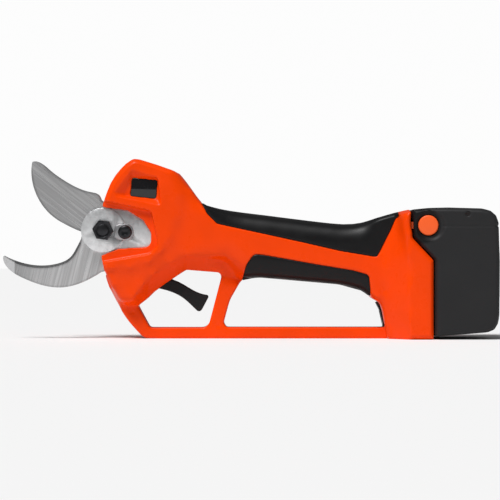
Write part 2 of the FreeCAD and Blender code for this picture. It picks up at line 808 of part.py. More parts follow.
def stator():
    """Laminated stack with nine slots."""
    outer = dim("motor_radius") - 0.9
    path = []
    slots = 9
    for i in range(slots):
        for share, radius in ((0.42, 8.8), (0.42, 9.5), (0.2, 9.8), (0.2, 11.6), (0.8, 11.6),
                              (0.8, 9.8), (0.58, 9.5), (0.58, 8.8)):
            angle = TAU * (i + share) / slots
            path.append((radius * math.cos(angle), radius * math.sin(angle)))
    return plate("stator", "DRIVE", "YZ_Plane", 72.0, MOTOR_BACK - 12, [path], [(0, 0, outer)])


def stator_coils():
    """Copper end turns at both ends of the stack."""
    made = []
    for front in (68.6, float(MOTOR_BACK) - 12):
        for i in range(9):
            angle = TAU * (i + 0.5) / 9 + TAU / 18
            at = Vector(0, 10.4 * math.cos(angle), 10.4 * math.sin(angle))
            made.append(Part.makeCylinder(1.7, 3.4, Vector(front, at.y, at.z), Vector(1, 0, 0)))
    return grouped("stator_coils", "DRIVE", made)


def rotor():
    """Rotor stack; the magnets sit on it."""
    return tube("rotor", "DRIVE", "X", 72.0, MOTOR_BACK - 12, dim("motor_shaft_radius"), 6.6)


def rotor_magnets():
    made = []
    for i in range(4):
        ring = rod(8.1, (72.5, 0, 0), (float(MOTOR_BACK) - 12.5, 0, 0))
        ring = ring.cut(rod(6.6, (70, 0, 0), (MOTOR_BACK, 0, 0)))
        wedge = Part.makePolygon([Vector(70, 0, 0), Vector(70, 20, -16.0), Vector(70, 20, 16.0),
                                  Vector(70, 0, 0)])
        piece = ring.common(Part.Face(wedge).extrude(Vector(50, 0, 0)))
        piece.rotate(Vector(0, 0, 0), Vector(1, 0, 0), 90 * i)
        made.append(piece)
    return grouped("rotor_magnets", "DRIVE", made)


def motor_shaft():
    """Motor shaft with the first sun pinion cut on its end."""
    front = STAGES[1][1] + 3.3
    body = new_body("motor_shaft")
    pad(body, "YZ_Plane", front, front + 6.4, [spur(SUN_TEETH, dim("planet_module"))])
    pad(body, "YZ_Plane", front + 6.4, MOTOR_BACK + 4, (), [(0, 0, dim("motor_shaft_radius"))])
    place(body, "DRIVE")
    return node(body, "motor_shaft")


# ---------------------------------------------------------------- electronics and trigger

def control_board():
    """Motor controller standing behind the motor."""
    return plate("control_board", "DRIVE", "XZ_Plane", -0.8, 0.8,
                 [[(117.0, -11.5), (150.0, -11.5), (150.0, 11.5), (117.0, 11.5)]],
                 [(119.5, -9.0, 1.1), (147.5, 9.0, 1.1)])


def board_parts():
    """Power switches, controller chip, connector and capacitors on the board."""
    made = []
    for i in range(3):
        made.append(block(121 + 7 * i, 126.5 + 7 * i, -3.1, -0.8, 2.0, 8.5))
        made.append(block(121 + 7 * i, 126.5 + 7 * i, -3.1, -0.8, -5.5, 1.0))
    made.append(block(143, 149, -2.0, -0.8, -4, 3))
    made.append(block(118, 124, 0.8, 6.0, -6, 6))
    for x, w in ((131, 5), (131, -5), (141, 5), (141, -5)):
        made.append(rod(4.0, (x, 0.8, w), (x, 11.0, w)))
    return grouped("board_parts", "DRIVE", made)


DISPLAY_TURN = -5.7
DISPLAY_CENTRE = (25.6, 94.0)
DISPLAY_RIM = [(6.8, 91.1), (17.9, 105.8), (34.1, 100.9), (36.4, 82.8), (8.6, 88.7)]
DISPLAY_FLOOR = [(13.5, 91.5), (18.4, 101.2), (34.2, 99.4), (34.8, 86.4), (14.2, 88.9)]


def display_rectangle(long_half, high_half):
    """Rectangle turned with the display window."""
    cos = math.cos(math.radians(DISPLAY_TURN))
    sin = math.sin(math.radians(DISPLAY_TURN))
    corners = ((-long_half, -high_half), (long_half, -high_half), (long_half, high_half),
               (-long_half, high_half))
    x0, z0 = DISPLAY_CENTRE
    return [(x0 + a * cos - b * sin, z0 + a * sin + b * cos) for a, b in corners]


def display_lens():
    face = -(dim("head_half") - DISPLAY_DEPTH)
    return plate("display_lens", "HANDLE", "XZ_Plane", face, face + 1.2,
                 [display_rectangle(*DISPLAY_HALF)])


def display_board():
    """Display board with the display module standing on it."""
    face = -(dim("head_half") - 4.4)
    body = new_body("display_board")
    pad(body, "XZ_Plane", face + 2.8, face + 4.2, [display_rectangle(9.6, 6.6)])
    pad(body, "XZ_Plane", face, face + 2.8, [display_rectangle(8.6, 5.8)])
    place(body, "HANDLE")
    return node(body, "display_board")


TRIGGER_PIVOT = (26.8, 38.6)


def trigger():
    """Curved one-finger trigger with the sensor arm in front of its pin."""
    half = dim("trigger_half")
    path = [
        (24.0, 37.4),
        [(25.4, 34.9), (34.5, 31.3), (42.1, 29.2), (48.8, 25.9), (53.6, 22.0), (58.1, 17.6)],
        [(59.8, 16.9), (61.6, 18.3)],
        (66.1, 26.8, 1.2),
        [(59.3, 28.5), (54.6, 30.8), (49.8, 33.7), (44.0, 36.4)],
        (39.5, 38.6, 1.5),
        (38.5, 42.6, 1),
        (31.0, 42.6, 2),
        (24.0, 41.0, 2),
    ]
    body = new_body("trigger")
    pad(body, "XZ_Plane", -half, half, [path],
        [TRIGGER_PIVOT + (dim("pin_radius") + dim("running_gap"),)])
    pad(body, "XZ_Plane", -2.5, 2.5, [[(16.0, 36.2), (24.6, 37.2), (24.6, 40.6), (16.0, 39.6)]])
    place(body, "HANDLE")
    return node(body, "trigger")


def trigger_pin():
    half = dim("guard_half") + PIN_HOLD
    return tube("trigger_pin", "HANDLE", "Y", -half, half, 0, dim("pin_radius"), TRIGGER_PIVOT)


def coil_spring(length, coil, wire, turns):
    """Coil spring standing on the origin along Z."""
    rise = length - 2 * wire
    helix = Part.makeHelix(rise / turns, rise, coil)
    lead = rise / turns / (TAU * coil)
    section = Part.Wire(Part.makeCircle(wire, Vector(coil, 0, 0), Vector(0, 1, lead)))
    shape = Part.Wire(helix).makePipeShell([section], True, True)
    shape.translate(Vector(0, 0, wire))
    return shape


def trigger_spring():
    """Coil spring between the trigger's pad and the seat above it."""
    low, high = 42.65, 47.3
    shape = coil_spring(high - low, 2.6, 0.45, 3)
    shape.translate(Vector(35.0, 0, low))
    return solid("trigger_spring", "HANDLE", shape)


def trigger_switch():
    """Small board in front of the trigger's arm."""
    return plate("trigger_switch", "HANDLE", "XZ_Plane", -5.0, 5.0,
                 [[(12.2, 34.5), (13.6, 34.5), (13.6, 41.6), (12.2, 41.6)]])


# ---------------------------------------------------------------- shell outlines, HANDLE frame

BODY_FACE = [
    (0.9, 42.1), (5.2, 32.3), (11.2, 22.0), (19.1, 23.6), (28.4, 35.5), (41.5, 45.1),
    (52.0, 50.6), (76.0, 49.9), (86.8, 36.8), (96.0, 38.3), (127.0, 35.7), (147.7, 33.8),
    (160.5, 30.7), (168.5, 25.0), (172.8, 22.9), (176.1, GROUND + 8.3), (178.0, GROUND),
    (205.6, GROUND), (205.6, 49.0),
    (192.5, 62.9), (191.6, 80.9), (184.0, 79.3), (172.1, 75.9), (161.8, 72.7), (150.0, 71.7),
    (132.2, 73.4), (100.4, 77.4), (80.4, 79.9), (68.5, 82.3), (61.3, 85.4), (54.7, 94.1),
    (48.8, 101.9), (43.9, 105.1), (23.0, 112.0), (17.2, 111.4), (11.0, 106.1), (4.6, 97.0),
    (-0.6, 83.0), (-1.6, 52.8),
]
BODY_CORNERS = {0, 2, 6, 7, 8, 14, 15, 16, 17, 18, 19, 20, 37, 38}
LOWER_EDGE = {3: (22.0, 21.0), 4: (31.5, 29.2), 5: (44.0, 38.1), 6: (52.0, 43.2), 7: (75.0, 41.6)}
BODY_CORE = [LOWER_EDGE.get(i, point) for i, point in enumerate(BODY_FACE)]
HEAD_REAR = [(0.9, 42.1), (14.0, 40.0), (30.0, 45.0), (44.0, 58.0), (50.0, 76.0), (52.0, 90.0)]
HEAD_TOP = (48.8, 101.9)


def softened(path, corners):
    """Smooth closed outline with a point added between its points; corners stay sharp."""
    made = []
    for i, here in enumerate(path):
        follows = (i + 1) % len(path)
        after = path[follows]
        made.append(here)
        if i in corners and follows in corners:
            continue
        middle = []
        for k in (0, 1):
            before_here = 2 * here[k] - after[k] if i in corners else path[i - 1][k]
            beyond = 2 * after[k] - here[k] if follows in corners else path[(i + 2) % len(path)][k]
            middle.append((9 * (here[k] + after[k]) - before_here - beyond) / 16)
        made.append(tuple(middle))
    return made


BODY_FACE = softened(BODY_FACE, BODY_CORNERS)
BODY_CORE = softened(BODY_CORE, BODY_CORNERS)
HEAD_FACE = HEAD_REAR + BODY_FACE[BODY_FACE.index(HEAD_TOP):]
REAR_INNER = [(178.0, GROUND), (205.6, GROUND), (205.6, 49.0), (192.5, 62.9), (191.6, 80.9),
              (181.5, 78.6), (172.5, 53.0), (172.6, 24.0), (176.3, GROUND + 8)]
REAR_OUTER = [(190.0, GROUND), (205.6, GROUND), (205.6, 49.0), (192.5, 62.9), (191.6, 79.4),
              (186.0, 78.0), (188.0, 53.0), (188.0, 24.5), (189.0, GROUND + 8)]
GUARD = [
    (0.5, 42.1), [(3.3, 32.3), (8.4, 22.0), (14.5, GROUND + 12.2), (18.8, GROUND + 7.0)],
    (25.2, GROUND, 8), (196.0, GROUND), (196.0, 40.0), (80.0, 62.0), (20.0, 60.0),
]
TRIGGER_HOLE = [(20.2, 22.8, 1.5), (51.0, 43.1, 4), (74.4, 41.2, 2), (65.4, GROUND + 6.8, 5),
                (28.8, GROUND + 6.8, 2)]
HAND_GAP = [
    (79.0, 24.0, 20), (75.2, GROUND + 10, 2), (76.8, GROUND + 7, 1), (176.4, GROUND + 7, 0.8),
    (172.8, 22.9, 1),
    (168.2, 25.6, 1.5), (165.0, 29.0, 2), (147.7, 33.8, 30), (96.0, 38.3, 30), (86.0, 36.2, 3),
]
PALM_GRIP = [
    (61.3, 85.4), (64.9, 77.9), (70.9, 71.9, 2), (80.4, 69.8), (100.4, 65.5), (124.2, 60.3),
    (148.2, 54.8), (170.9, 51.0, 2), (178.5, 65.9), (184.6, 78.3), (184.6, 95.0), (61.3, 95.0),
]
FINGER_GRIP = [
    (86.0, 30.0), (87.0, 38.0), (89.2, 45.9), (94.0, 53.1, 4), (100.4, 52.5), (132.2, 46.8),
    (156.2, 42.8), (166.0, 40.0, 3), (166.9, 30.5), (167.0, 20.0), (86.0, 20.0),
]
WINDOW = [
    (-30.0, 83.6), (0.2, 82.1), (15.2, 80.1, 4), (25.0, 74.0, 4), (29.9, 66.0, 4), (29.6, 57.5, 4),
    (9.8, 56.4, 8), (-0.3, 52.4), (-30.0, 49.0),
]
RECESS = [
    (-30.0, 88.0), (0.9, 86.0), (30.1, 79.8, 3), (33.6, 64.2), (34.1, 57.0, 4), (29.0, 53.0, 4),
    (0.9, 48.1), (-30.0, 45.0),
]
BODY_SCREWS = ((52.0, 92.0), (160.5, 47.5), (186.0, 59.0), (186.5, 14.0))
GUARD_SCREWS = ((17.8, GROUND + 16.4), (71.6, GROUND + 8.0))
ROCKER_CENTRE = (174.5, 15.4)
ROCKER_LEAN = 12.8


def outer_shape():
    """Outside of both shell halves together, soft grips included."""
    grip = float(dim("grip_half"))
    head = float(dim("head_half"))
    guard = float(dim("guard_half"))
    rear = float(dim("rear_half"))
    edge = 2.5
    pieces = [
        taper(BODY_CORE, guard, BODY_FACE, grip - edge),
        slab(BODY_CORE, 0, guard),
        taper(BODY_FACE, grip - edge, inset(BODY_FACE, edge * 0.8), grip),
        taper(HEAD_FACE, grip - edge - 1, HEAD_FACE, head - edge),
        taper(HEAD_FACE, head - edge, inset(HEAD_FACE, edge), head),
        taper(REAR_INNER, grip - edge - 1, REAR_OUTER, rear - edge),
        taper(REAR_OUTER, rear - edge, inset(REAR_OUTER, edge * 0.8), rear),
        slab(GUARD, 0, guard).cut(slab(TRIGGER_HOLE, -1, TOP)).cut(slab(HAND_GAP, -1, TOP)),
    ]
    return pieces[0].fuse(pieces[1:])


def cavity_shape():
    """Room inside one half of the shell."""
    skin = float(dim("wall")) + float(dim("grip_skin"))
    grip = float(dim("grip_half"))
    rear = float(dim("rear_half"))
    cheek = float(FRAME_NEAR + dim("plate_thickness"))
    gap = float(dim("clear_gap"))
    room = shrunk_slab(BODY_FACE, skin, -0.01, grip - skin)
    head = shrunk_slab(HEAD_FACE, 3.2, -0.01, cheek + 0.2)
    drive = along_drive(rod(float(dim("case_radius")) + gap, (24, 0, 0), (116, 0, 0)))
    seat = block(183.5, 206.5, -0.01, rear - 12 + gap, 27.0, 50.0)
    block_room = along_drive(block(20, 36.4, -0.01, cheek + 0.2, -15.4, 15.4))
    return room.fuse([head, drive, seat, block_room])


def slot_shape():
    """Front opening for the blades, the windows over both cheeks and the trigger slot."""
    cheek = float(dim("cheek_face"))
    head = float(dim("head_half"))
    half = float(dim("trigger_half")) + float(dim("clear_gap"))
    sweep = [(-20.0, 40.0), (3.5, 40.0), (9.0, 46.0), (9.0, 84.0), (3.0, 88.0), (-20.0, 88.0)]
    pieces = [
        slab(sweep, -0.01, cheek + 0.6),
        slab(WINDOW, 8.0, TOP),
        slab(RECESS, head - 3.4, TOP),
        slab([(23.0, 24.0), (41.0, 30.0), (52.0, 41.0), (46.0, 47.3), (30.0, 47.3), (22.0, 43.0),
              (14.5, 43.0), (14.5, 35.4), (22.5, 34.6)], -0.01, half),
    ]
    return pieces[0].fuse(pieces[1:])


def grip_shape(outer, region):
    """Soft grip over one side: the outside skin within its outline."""
    skin = float(dim("grip_skin"))
    core = shrunk_slab(BODY_FACE, skin, -0.5, float(dim("grip_half")) - skin)
    return outer.common(slab(region, -0.01, TOP)).cut(core)


def mirrored(shape):
    return shape.mirror(Vector(0, 0, 0), Vector(0, 1, 0))


def rocker_block(half_wide, low, high, front, back):
    """Block lined up with the slanted switch face, from its outward side to its back."""
    shape = block(-front, back, -half_wide, half_wide, low, high)
    shape.rotate(Vector(0, 0, 0), Vector(0, 1, 0), -ROCKER_LEAN)
    shape.translate(Vector(ROCKER_CENTRE[0], 0, ROCKER_CENTRE[1]))
    return shape


POST_RADIUS = 4.0
RIB_SPOTS = (58.0, 92.0)
RIB_THICKNESS = 2.4
SCREW_SEAT = 12.0                        # depth of the screw heads' seats in the handle
GUARD_SEAT = 4.5                         # and in the guard
DIMPLE_RADIUS = 1.1
DIMPLE_DEPTH = 0.6
PIN_HOLD = 4.0                           # how far the trigger pin enters each side
DISPLAY_DEPTH = 3.0
DISPLAY_HALF = (7.9, 5.6)


def inner_depth():
    """Distance from the outline to the cavity."""
    return float(dim("wall")) + float(dim("grip_skin"))


def with_supports(shell, outer):
    """Screw posts, cross ribs and round seats for the gear case and the motor."""
    top = float(dim("grip_half")) - inner_depth() + 0.5
    posts = [rod(POST_RADIUS, (x, -0.01, z), (x, top, z)) for x, z in BODY_SCREWS]
    shell = shell.fuse(posts).common(outer)
    rib_room = along_drive(rod(dim("case_radius"), (20, 0, 0), (TOP, 0, 0)))
    for x in RIB_SPOTS:
        rib = shrunk_slab(BODY_FACE, inner_depth() - 0.5, -0.01, top)
        rib = rib.common(block(x, x + RIB_THICKNESS, 0, dim("grip_half"), 20, 100))
        shell = shell.fuse(rib.cut(rib_room))
    for front, back, radius in ((24.0, PLATE_BACK, dim("case_radius")),
                                (PLATE_BACK, 116.0, dim("motor_radius"))):
        shell = shell.cut(along_drive(rod(float(radius) + 0.02, (front, 0, 0), (back, 0, 0))))
    return shell


def with_inner_seats(shell):
    """Seats for the trigger's pin, spring and switch, the power switch and the contacts."""
    x, z = TRIGGER_PIVOT
    half = dim("guard_half") + PIN_HOLD
    spring_seat = block(31.0, 38.0, 0, 8.0, 47.35, 48.8)
    catch = float(dim("rear_half"))
    rooms = [
        rod(dim("pin_radius"), (x, -1, z), (x, half, z)),
        rocker_block(6.3, -9.3, 9.3, 4, 9),
        rocker_block(7.4, -10.3, 10.3, 3, 0),
        block(173.0, 206.5, -1, 18.4, 27.6, 49.4),
        block(12.0, 13.8, -1, 5.1, 34.3, 41.8),
        block(188.0, 195.0, catch - 12.7, catch - 4.9, 68.0, 73.6),
    ]
    shell = shell.fuse(spring_seat)
    for room in rooms:
        shell = shell.cut(room)
    return shell


def with_screw_holes(shell, near_side):
    """Threaded blind holes in the near half, clearance holes and head seats in the far one."""
    sets = ((BODY_SCREWS, SCREW_SEAT), (GUARD_SCREWS, GUARD_SEAT))
    for spots, seat in sets:
        for x, z in spots:
            if near_side:
                depth = 12 if seat == SCREW_SEAT else 6
                shell = shell.cut(rod(dim("screw_radius"), (x, 1, z), (x, -depth, z)))
            else:
                shell = shell.cut(rod(dim("screw_radius"), (x, -1, z), (x, seat + 2, z)))
                shell = shell.cut(rod(dim("screw_head") + 0.15, (x, seat, z), (x, TOP, z)))
    return shell


def with_display(shell):
    """Sloped pocket for the display, its window and the room for the board behind it."""
    face = -(float(dim("head_half")) - DISPLAY_DEPTH)
    back = face + 1.2
    shell = shell.cut(taper(DISPLAY_FLOOR, face, DISPLAY_RIM, face - DISPLAY_DEPTH - 0.2))
    shell = shell.cut(slab(display_rectangle(10.6, 7.2), back, back + 6.5))
    return shell.cut(slab(display_rectangle(*DISPLAY_HALF), face - 1, back + 0.5))


def with_dimples(shell):
    """Shallow moulded dimples in the near face over the guard's screws."""
    face = -float(dim("guard_half"))
    for x, z in GUARD_SCREWS:
        shell = shell.cut(rod(DIMPLE_RADIUS, (x, face + DIMPLE_DEPTH, z), (x, face, z)))
    return shell


def shell_half(name, outer, cavity, slots, grips, near_side):
    """One half of the shell with its posts, bearing seats and openings."""
    shell = with_supports(outer.cut(cavity), outer).cut(slots)
    for grip_piece in grips:
        shell = shell.cut(grip_piece)
    shell = with_inner_seats(shell)
    if near_side:
        shell = with_dimples(with_display(mirrored(shell)))
    shell = with_screw_holes(shell, near_side)
    return solid(name, "HANDLE", shell.removeSplitter())


def shell_screws():
    """Socket screws that hold the shell halves together."""
    made = []
    sets = ((BODY_SCREWS, SCREW_SEAT, -11.8), (GUARD_SCREWS, GUARD_SEAT, -5.8))
    for spots, seat, end in sets:
        for x, z in spots:
            shank = rod(dim("screw_radius"), (x, end, z), (x, seat, z))
            head = rod(dim("screw_head"), (x, seat, z), (x, seat + 2.4, z))
            socket = slab(hexagon(2.5, 0.0, (x, float(z))), seat + 1.1, seat + 3)
            made.append(shank.fuse(head).cut(socket).removeSplitter())
    return grouped("shell_screws", "HANDLE", made)


def make_shell():
    """Both shell halves and both grips, each grip one piece wrapped around the handle."""
    outer = outer_shape()
    cavity = cavity_shape()
    slots = slot_shape()
    grips = [grip_shape(outer, PALM_GRIP), grip_shape(outer, FINGER_GRIP)]
    shell_half("housing_left", outer, cavity, slots, grips, True)
    shell_half("housing_right", outer, cavity, slots, grips, False)
    for name, half in zip(("palm_grip", "finger_grip"), grips):
        whole = half.fuse(mirrored(half)).removeSplitter()
        solid(name, "HANDLE", whole)


# ---------------------------------------------------------------- power switch

ROCKER_AXLE = (1.5, 0.0)                 # behind the face, along the face
ROCKER_REST = 4.0


def on_face(back, along):
    """Point on the slanted switch face: distance behind it and distance up it."""
    lean = math.radians(ROCKER_LEAN)
    x = ROCKER_CENTRE[0] + back * math.cos(lean) - along * math.sin(lean)
    z = ROCKER_CENTRE[1] + back * math.sin(lean) + along * math.cos(lean)
    return x, z


def switch_body():
    """Switch case with its thin bezel, open at the front for the rocker."""
    shape = rocker_block(6.3, -9.3, 9.3, 0, 9).fuse(rocker_block(7.4, -10.3, 10.3, 0.8, 0))
    shape = shape.cut(rocker_block(5.2, -8.6, 8.6, 1, 6))
    x, z = on_face(*ROCKER_AXLE)
    shape = shape.cut(rod(1.04, (x, -5.8, z), (x, 5.8, z)))
    return solid("switch_body", "HANDLE", shape.removeSplitter())


def power_rocker():
    """Rocker tipped to its off side."""
    profile = [(-1.6, 8.0), (-0.1, 0.0), (-1.6, -8.0), (1.0, -8.0), (3.4, -3.0), (3.4, 3.0),
               (1.0, 8.0)]
    tip = math.radians(ROCKER_REST)
    path = []
    for back, along in profile:
        away = back - ROCKER_AXLE[0]
        path.append(on_face(ROCKER_AXLE[0] + away * math.cos(tip) - along * math.sin(tip),
                            away * math.sin(tip) + along * math.cos(tip)))
    x, z = on_face(*ROCKER_AXLE)
    shape = slab(path, -5.0, 5.0).fuse(rod(1.0, (x, -5.75, z), (x, 5.75, z)))
    return solid("power_rocker", "HANDLE", shape.removeSplitter())


# ---------------------------------------------------------------- battery

def back_x(x):
    """Points near the battery's back follow the cells' size."""
    return BATTERY_BACK - (246.6 - x)


CELL_LOW = 8.6
BATTERY_TOP = dim("cell_length") + (CELL_LOW + 8.3)
CASE = [
    (192.2, BATTERY_TOP - 1.3), (202.4, BATTERY_TOP - 0.3), (214.3, BATTERY_TOP),
    (back_x(235.3), BATTERY_TOP - 0.6), (back_x(240.6), BATTERY_TOP - 1.9),
    (back_x(244.2), BATTERY_TOP - 4.9), (back_x(245.8), BATTERY_TOP - 9.4),
    (back_x(246.6), 48.0), (back_x(246.3), GROUND + 15.1), (back_x(245.4), GROUND + 9.8),
    (back_x(243.1), GROUND + 6.1), (back_x(238.9), GROUND + 4.4), (220.3, GROUND + 2.9),
    (206.2, GROUND + 1.9), (206.2, 49.3), (193.1, 63.2),
]
LID_SEAM = BATTERY_TOP - 11.5
LID_FRONT = 212.0
LIGHT = (226.6, BATTERY_TOP - 4)
LIGHT_RADIUS = 1.3
BUTTON = (202.1, 70.8)
TONGUE = (184.2, 28.0, 49.0, 18.0)       # front, bottom, top, half width
CONTACT_SPOTS = (-12.0, -4.0, 4.0, 12.0)


def case_outside():
    rear = float(dim("rear_half"))
    edge = 2.5
    middle = slab(CASE, -rear + edge, rear - edge)
    rims = [taper(inset(CASE, edge * 0.8), -rear, CASE, -rear + edge),
            taper(CASE, rear - edge, inset(CASE, edge * 0.8), rear)]
    return middle.fuse(rims)


def cell_spots():
    """Six cells in two rows."""
    radius = float(dim("cell_radius"))
    first = BATTERY_FRONT + 1.3 + radius
    pitch = 2 * radius + 0.05
    return [(first + pitch * i, (radius * 2 + 0.6) * j) for i in (0, 1) for j in (-1, 0, 1)]


def cell_bores():
    """Room around each cell."""
    return [rod(float(dim("cell_radius")) + 0.1, (x, y, CELL_LOW - 0.6),
                (x, y, CELL_LOW + float(dim("cell_length")) + 0.6)) for x, y in cell_spots()]


def with_catch_pocket(shell, outside, side):
    """Collar, bore and finger hollow for one release button and the window for its latch."""
    rear = float(dim("rear_half"))
    x, z = BUTTON
    collar = rod(dim("button_bowl") + 1.5, (x, side * 22.0, z), (x, side * (rear - 1), z))
    shell = shell.fuse(collar.common(outside))
    bore = rod(dim("button_radius") + dim("running_gap"), (x, side * 15, z), (x, side * 40, z))
    bowl = rod(dim("button_bowl"), (x + 0.9, side * (rear - 1.4), z), (x + 0.9, side * 40, z))
    window = block(191, x, 19.5, 28.5, z - 2.6, z + 2.6)
    return shell.cut(bore).cut(bowl).cut(window if side > 0 else mirrored(window))


def with_contact_slots(shell):
    """Slots in the tongue for the contact blades and the contacts they meet."""
    front = TONGUE[0]
    for y in CONTACT_SPOTS:
        shell = shell.cut(block(front - 1, 197.0, y - 0.9, y + 0.9, 32.4, 44.6))
        shell = shell.cut(block(196.0, 203.0, y - 0.5, y + 0.5, 33.5, 43.5))
    return shell


def battery_parts():
    """Battery case and lid from one outline, split at the seam."""
    rear = float(dim("rear_half"))
    outside = case_outside()
    front, low, high, half = TONGUE
    tongue = block(front, BATTERY_FRONT + 1.2, -half, half, low, high)
    shell = outside.cut(shrunk_slab(CASE, 2.0, -rear + 2.2, rear - 2.2)).fuse(tongue)
    for side in (-1, 1):
        shell = with_catch_pocket(shell, outside, side)
    for bore in cell_bores():
        shell = shell.cut(bore)
    shell = with_contact_slots(shell)
    lid_zone = block(LID_FRONT, 300, -60, 60, LID_SEAM, TOP)
    x, z = LIGHT
    light = rod(LIGHT_RADIUS, (x, -rear - 1, z), (x, -rear + 2.5, z))
    lid = shell.common(lid_zone).cut(light)
    solid("battery_lid", "HANDLE", lid.removeSplitter())
    return solid("battery_case", "HANDLE", shell.cut(lid_zone).removeSplitter())


def battery_light():
    rear = dim("rear_half")
    return tube("battery_light", "HANDLE", "Y", -rear + 0.3, -rear + 2.4, 0, LIGHT_RADIUS, LIGHT)


def battery_cells():
    radius = dim("cell_radius")
    made = []
    for x, y in cell_spots():
        top = CELL_LOW + float(dim("cell_length"))
        cell = rod(radius, (x, y, CELL_LOW), (x, y, top - 1.2))
        made.append(cell.fuse(rod(3.0, (x, y, top - 1.3), (x, y, top))).removeSplitter())
    return grouped("battery_cells", "HANDLE", made)


def battery_contacts():
    """Strips that join the cells at both ends and the spring contacts in the tongue."""
    top = CELL_LOW + float(dim("cell_length"))
    spots = cell_spots()
    first, second = spots[0][0], spots[3][0]
    row = spots[2][1]
    made = [block(first - 2.5, second + 2.5, y - 3.5, y + 3.5, top, top + 0.3) for y in (-row, row)]
    made.append(block(first - 2.5, second + 2.5, -3.5, 3.5, CELL_LOW - 0.3, CELL_LOW))
    for y in CONTACT_SPOTS:
        made.append(block(197.0, 203.0, y - 0.5, y + 0.5, 33.5, 43.5))
    return grouped("battery_contacts", "HANDLE", made)


def protection_board():
    """Battery protection board lying over the cells, with its chips."""
    body = new_body("protection_board")
    low = BATTERY_TOP - 5.9
    outline = [(211.5, -24.0), (238.0, -24.0), (238.0, 24.0), (211.5, 24.0)]
    pad(body, "XY_Plane", low, low + 1, [outline], [(214.0, -21.0, 1.2), (235.0, 21.0, 1.2)])
    for x, y in ((218.0, -3.0), (225.0, -3.0), (216.0, 12.0)):
        chip = [(x, y), (x + 4, y), (x + 4, y + 6), (x, y + 6)]
        pad(body, "XY_Plane", low + 1, low + 2, [chip])
    place(body, "HANDLE")
    return node(body, "protection_board")


def terminal_block():
    return plate("terminal_block", "HANDLE", "XZ_Plane", -18.4, 18.4,
                 [[(173.0, 27.6), (183.0, 27.6), (183.0, 49.4), (173.0, 49.4)]])


def contact_blades():
    """Blades that stand behind the terminal block and enter the tongue."""
    made = [block(183.0, 195.0, y - 0.4, y + 0.4, 33.0, 44.0) for y in CONTACT_SPOTS]
    return grouped("contact_blades", "HANDLE", made)


def release_button(name, side):
    """Round button with its latch arm; it slides toward the middle."""
    rear = float(dim("rear_half"))
    x, z = BUTTON
    near = rear - 8.5
    step = near + 4.0
    face = rear - 0.6
    radius = float(dim("button_radius"))
    neck = rod(radius - 1.2, (x, near, z), (x, step, z))
    head = neck.fuse(rod(radius, (x, step, z), (x, face - 0.6, z)))
    crown = Part.makeCone(radius, radius - 0.6, 0.6, Vector(x, face - 0.6, z), Vector(0, 1, 0))
    arm = block(188.6, x, near, near + 3.0, z - 2.2, z + 2.2)
    shape = head.fuse([crown, arm]).removeSplitter()
    return solid(name, "HANDLE", shape if side > 0 else mirrored(shape))


def release_spring():
    """Coil spring between the two release buttons."""
    near = float(dim("rear_half")) - 8.55
    x, z = BUTTON
    shape = coil_spring(2 * near, 3.4, 0.45, 9)
    shape.rotate(Vector(0, 0, 0), Vector(1, 0, 0), -90)
    shape.translate(Vector(x, -near, float(z)))
    return solid("release_spring", "HANDLE", shape)


# ---------------------------------------------------------------- everything

def build():
    """Make every sub-part."""
    make_shell()
    for make in (
        shell_screws, hook_blade, cutting_blade, blade_dowels, pivot_bush, thrust_washer,
        pivot_bolt, pivot_nut, side_plate, nut_lock_plate, lock_screw, head_frame,
        side_plate_screws, hook_screw, sector_gear, output_pinion, shaft_bearings,
        ring_gear_case, motor_plate, motor_can, motor_end_cap, stator, stator_coils, rotor,
        rotor_magnets, motor_shaft, control_board, board_parts, display_lens, display_board,
        trigger, trigger_pin, trigger_spring, trigger_switch, switch_body, power_rocker,
        battery_parts, battery_light, battery_cells, battery_contacts, protection_board,
        terminal_block, contact_blades, release_spring,
    ):
        make()
    for name, front in STAGES:
        planet_carrier(name, front)
        for index in range(PLANETS):
            planet_gear(name, front, index)
    release_button("release_button_left", -1)
    release_button("release_button_right", 1)


def export():
    """Check every object, then write one STEP file for each sub-part."""
    doc.recompute()
    for thing in doc.Objects:
        if "Invalid" in thing.State or "Error" in thing.State:
            raise RuntimeError("%s did not build: %s" % (thing.Label, thing.State))
    os.makedirs("parts", exist_ok=True)
    for thing in nodes:
        if thing.Shape.isNull() or not thing.Shape.isValid():
            raise RuntimeError("%s has no valid shape" % thing.Label)
        thing.Shape.exportStep("parts/%s.step" % thing.Label)


build()
export()
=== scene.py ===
"""Looks of the battery pruning shears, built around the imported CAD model.

Metres, in the CAD frame: +Z up, the floor at Z = 0, blades toward -X, battery toward +X and the
camera on the -Y side.  Moulded shells are remeshed from the CAD surfaces, softened and crowned;
metal parts get broken edges; the two blades are built from their CAD outlines with ground bevels.
"""

import json
import math

import bmesh
import bpy
import numpy as np
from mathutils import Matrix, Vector
from mathutils.kdtree import KDTree


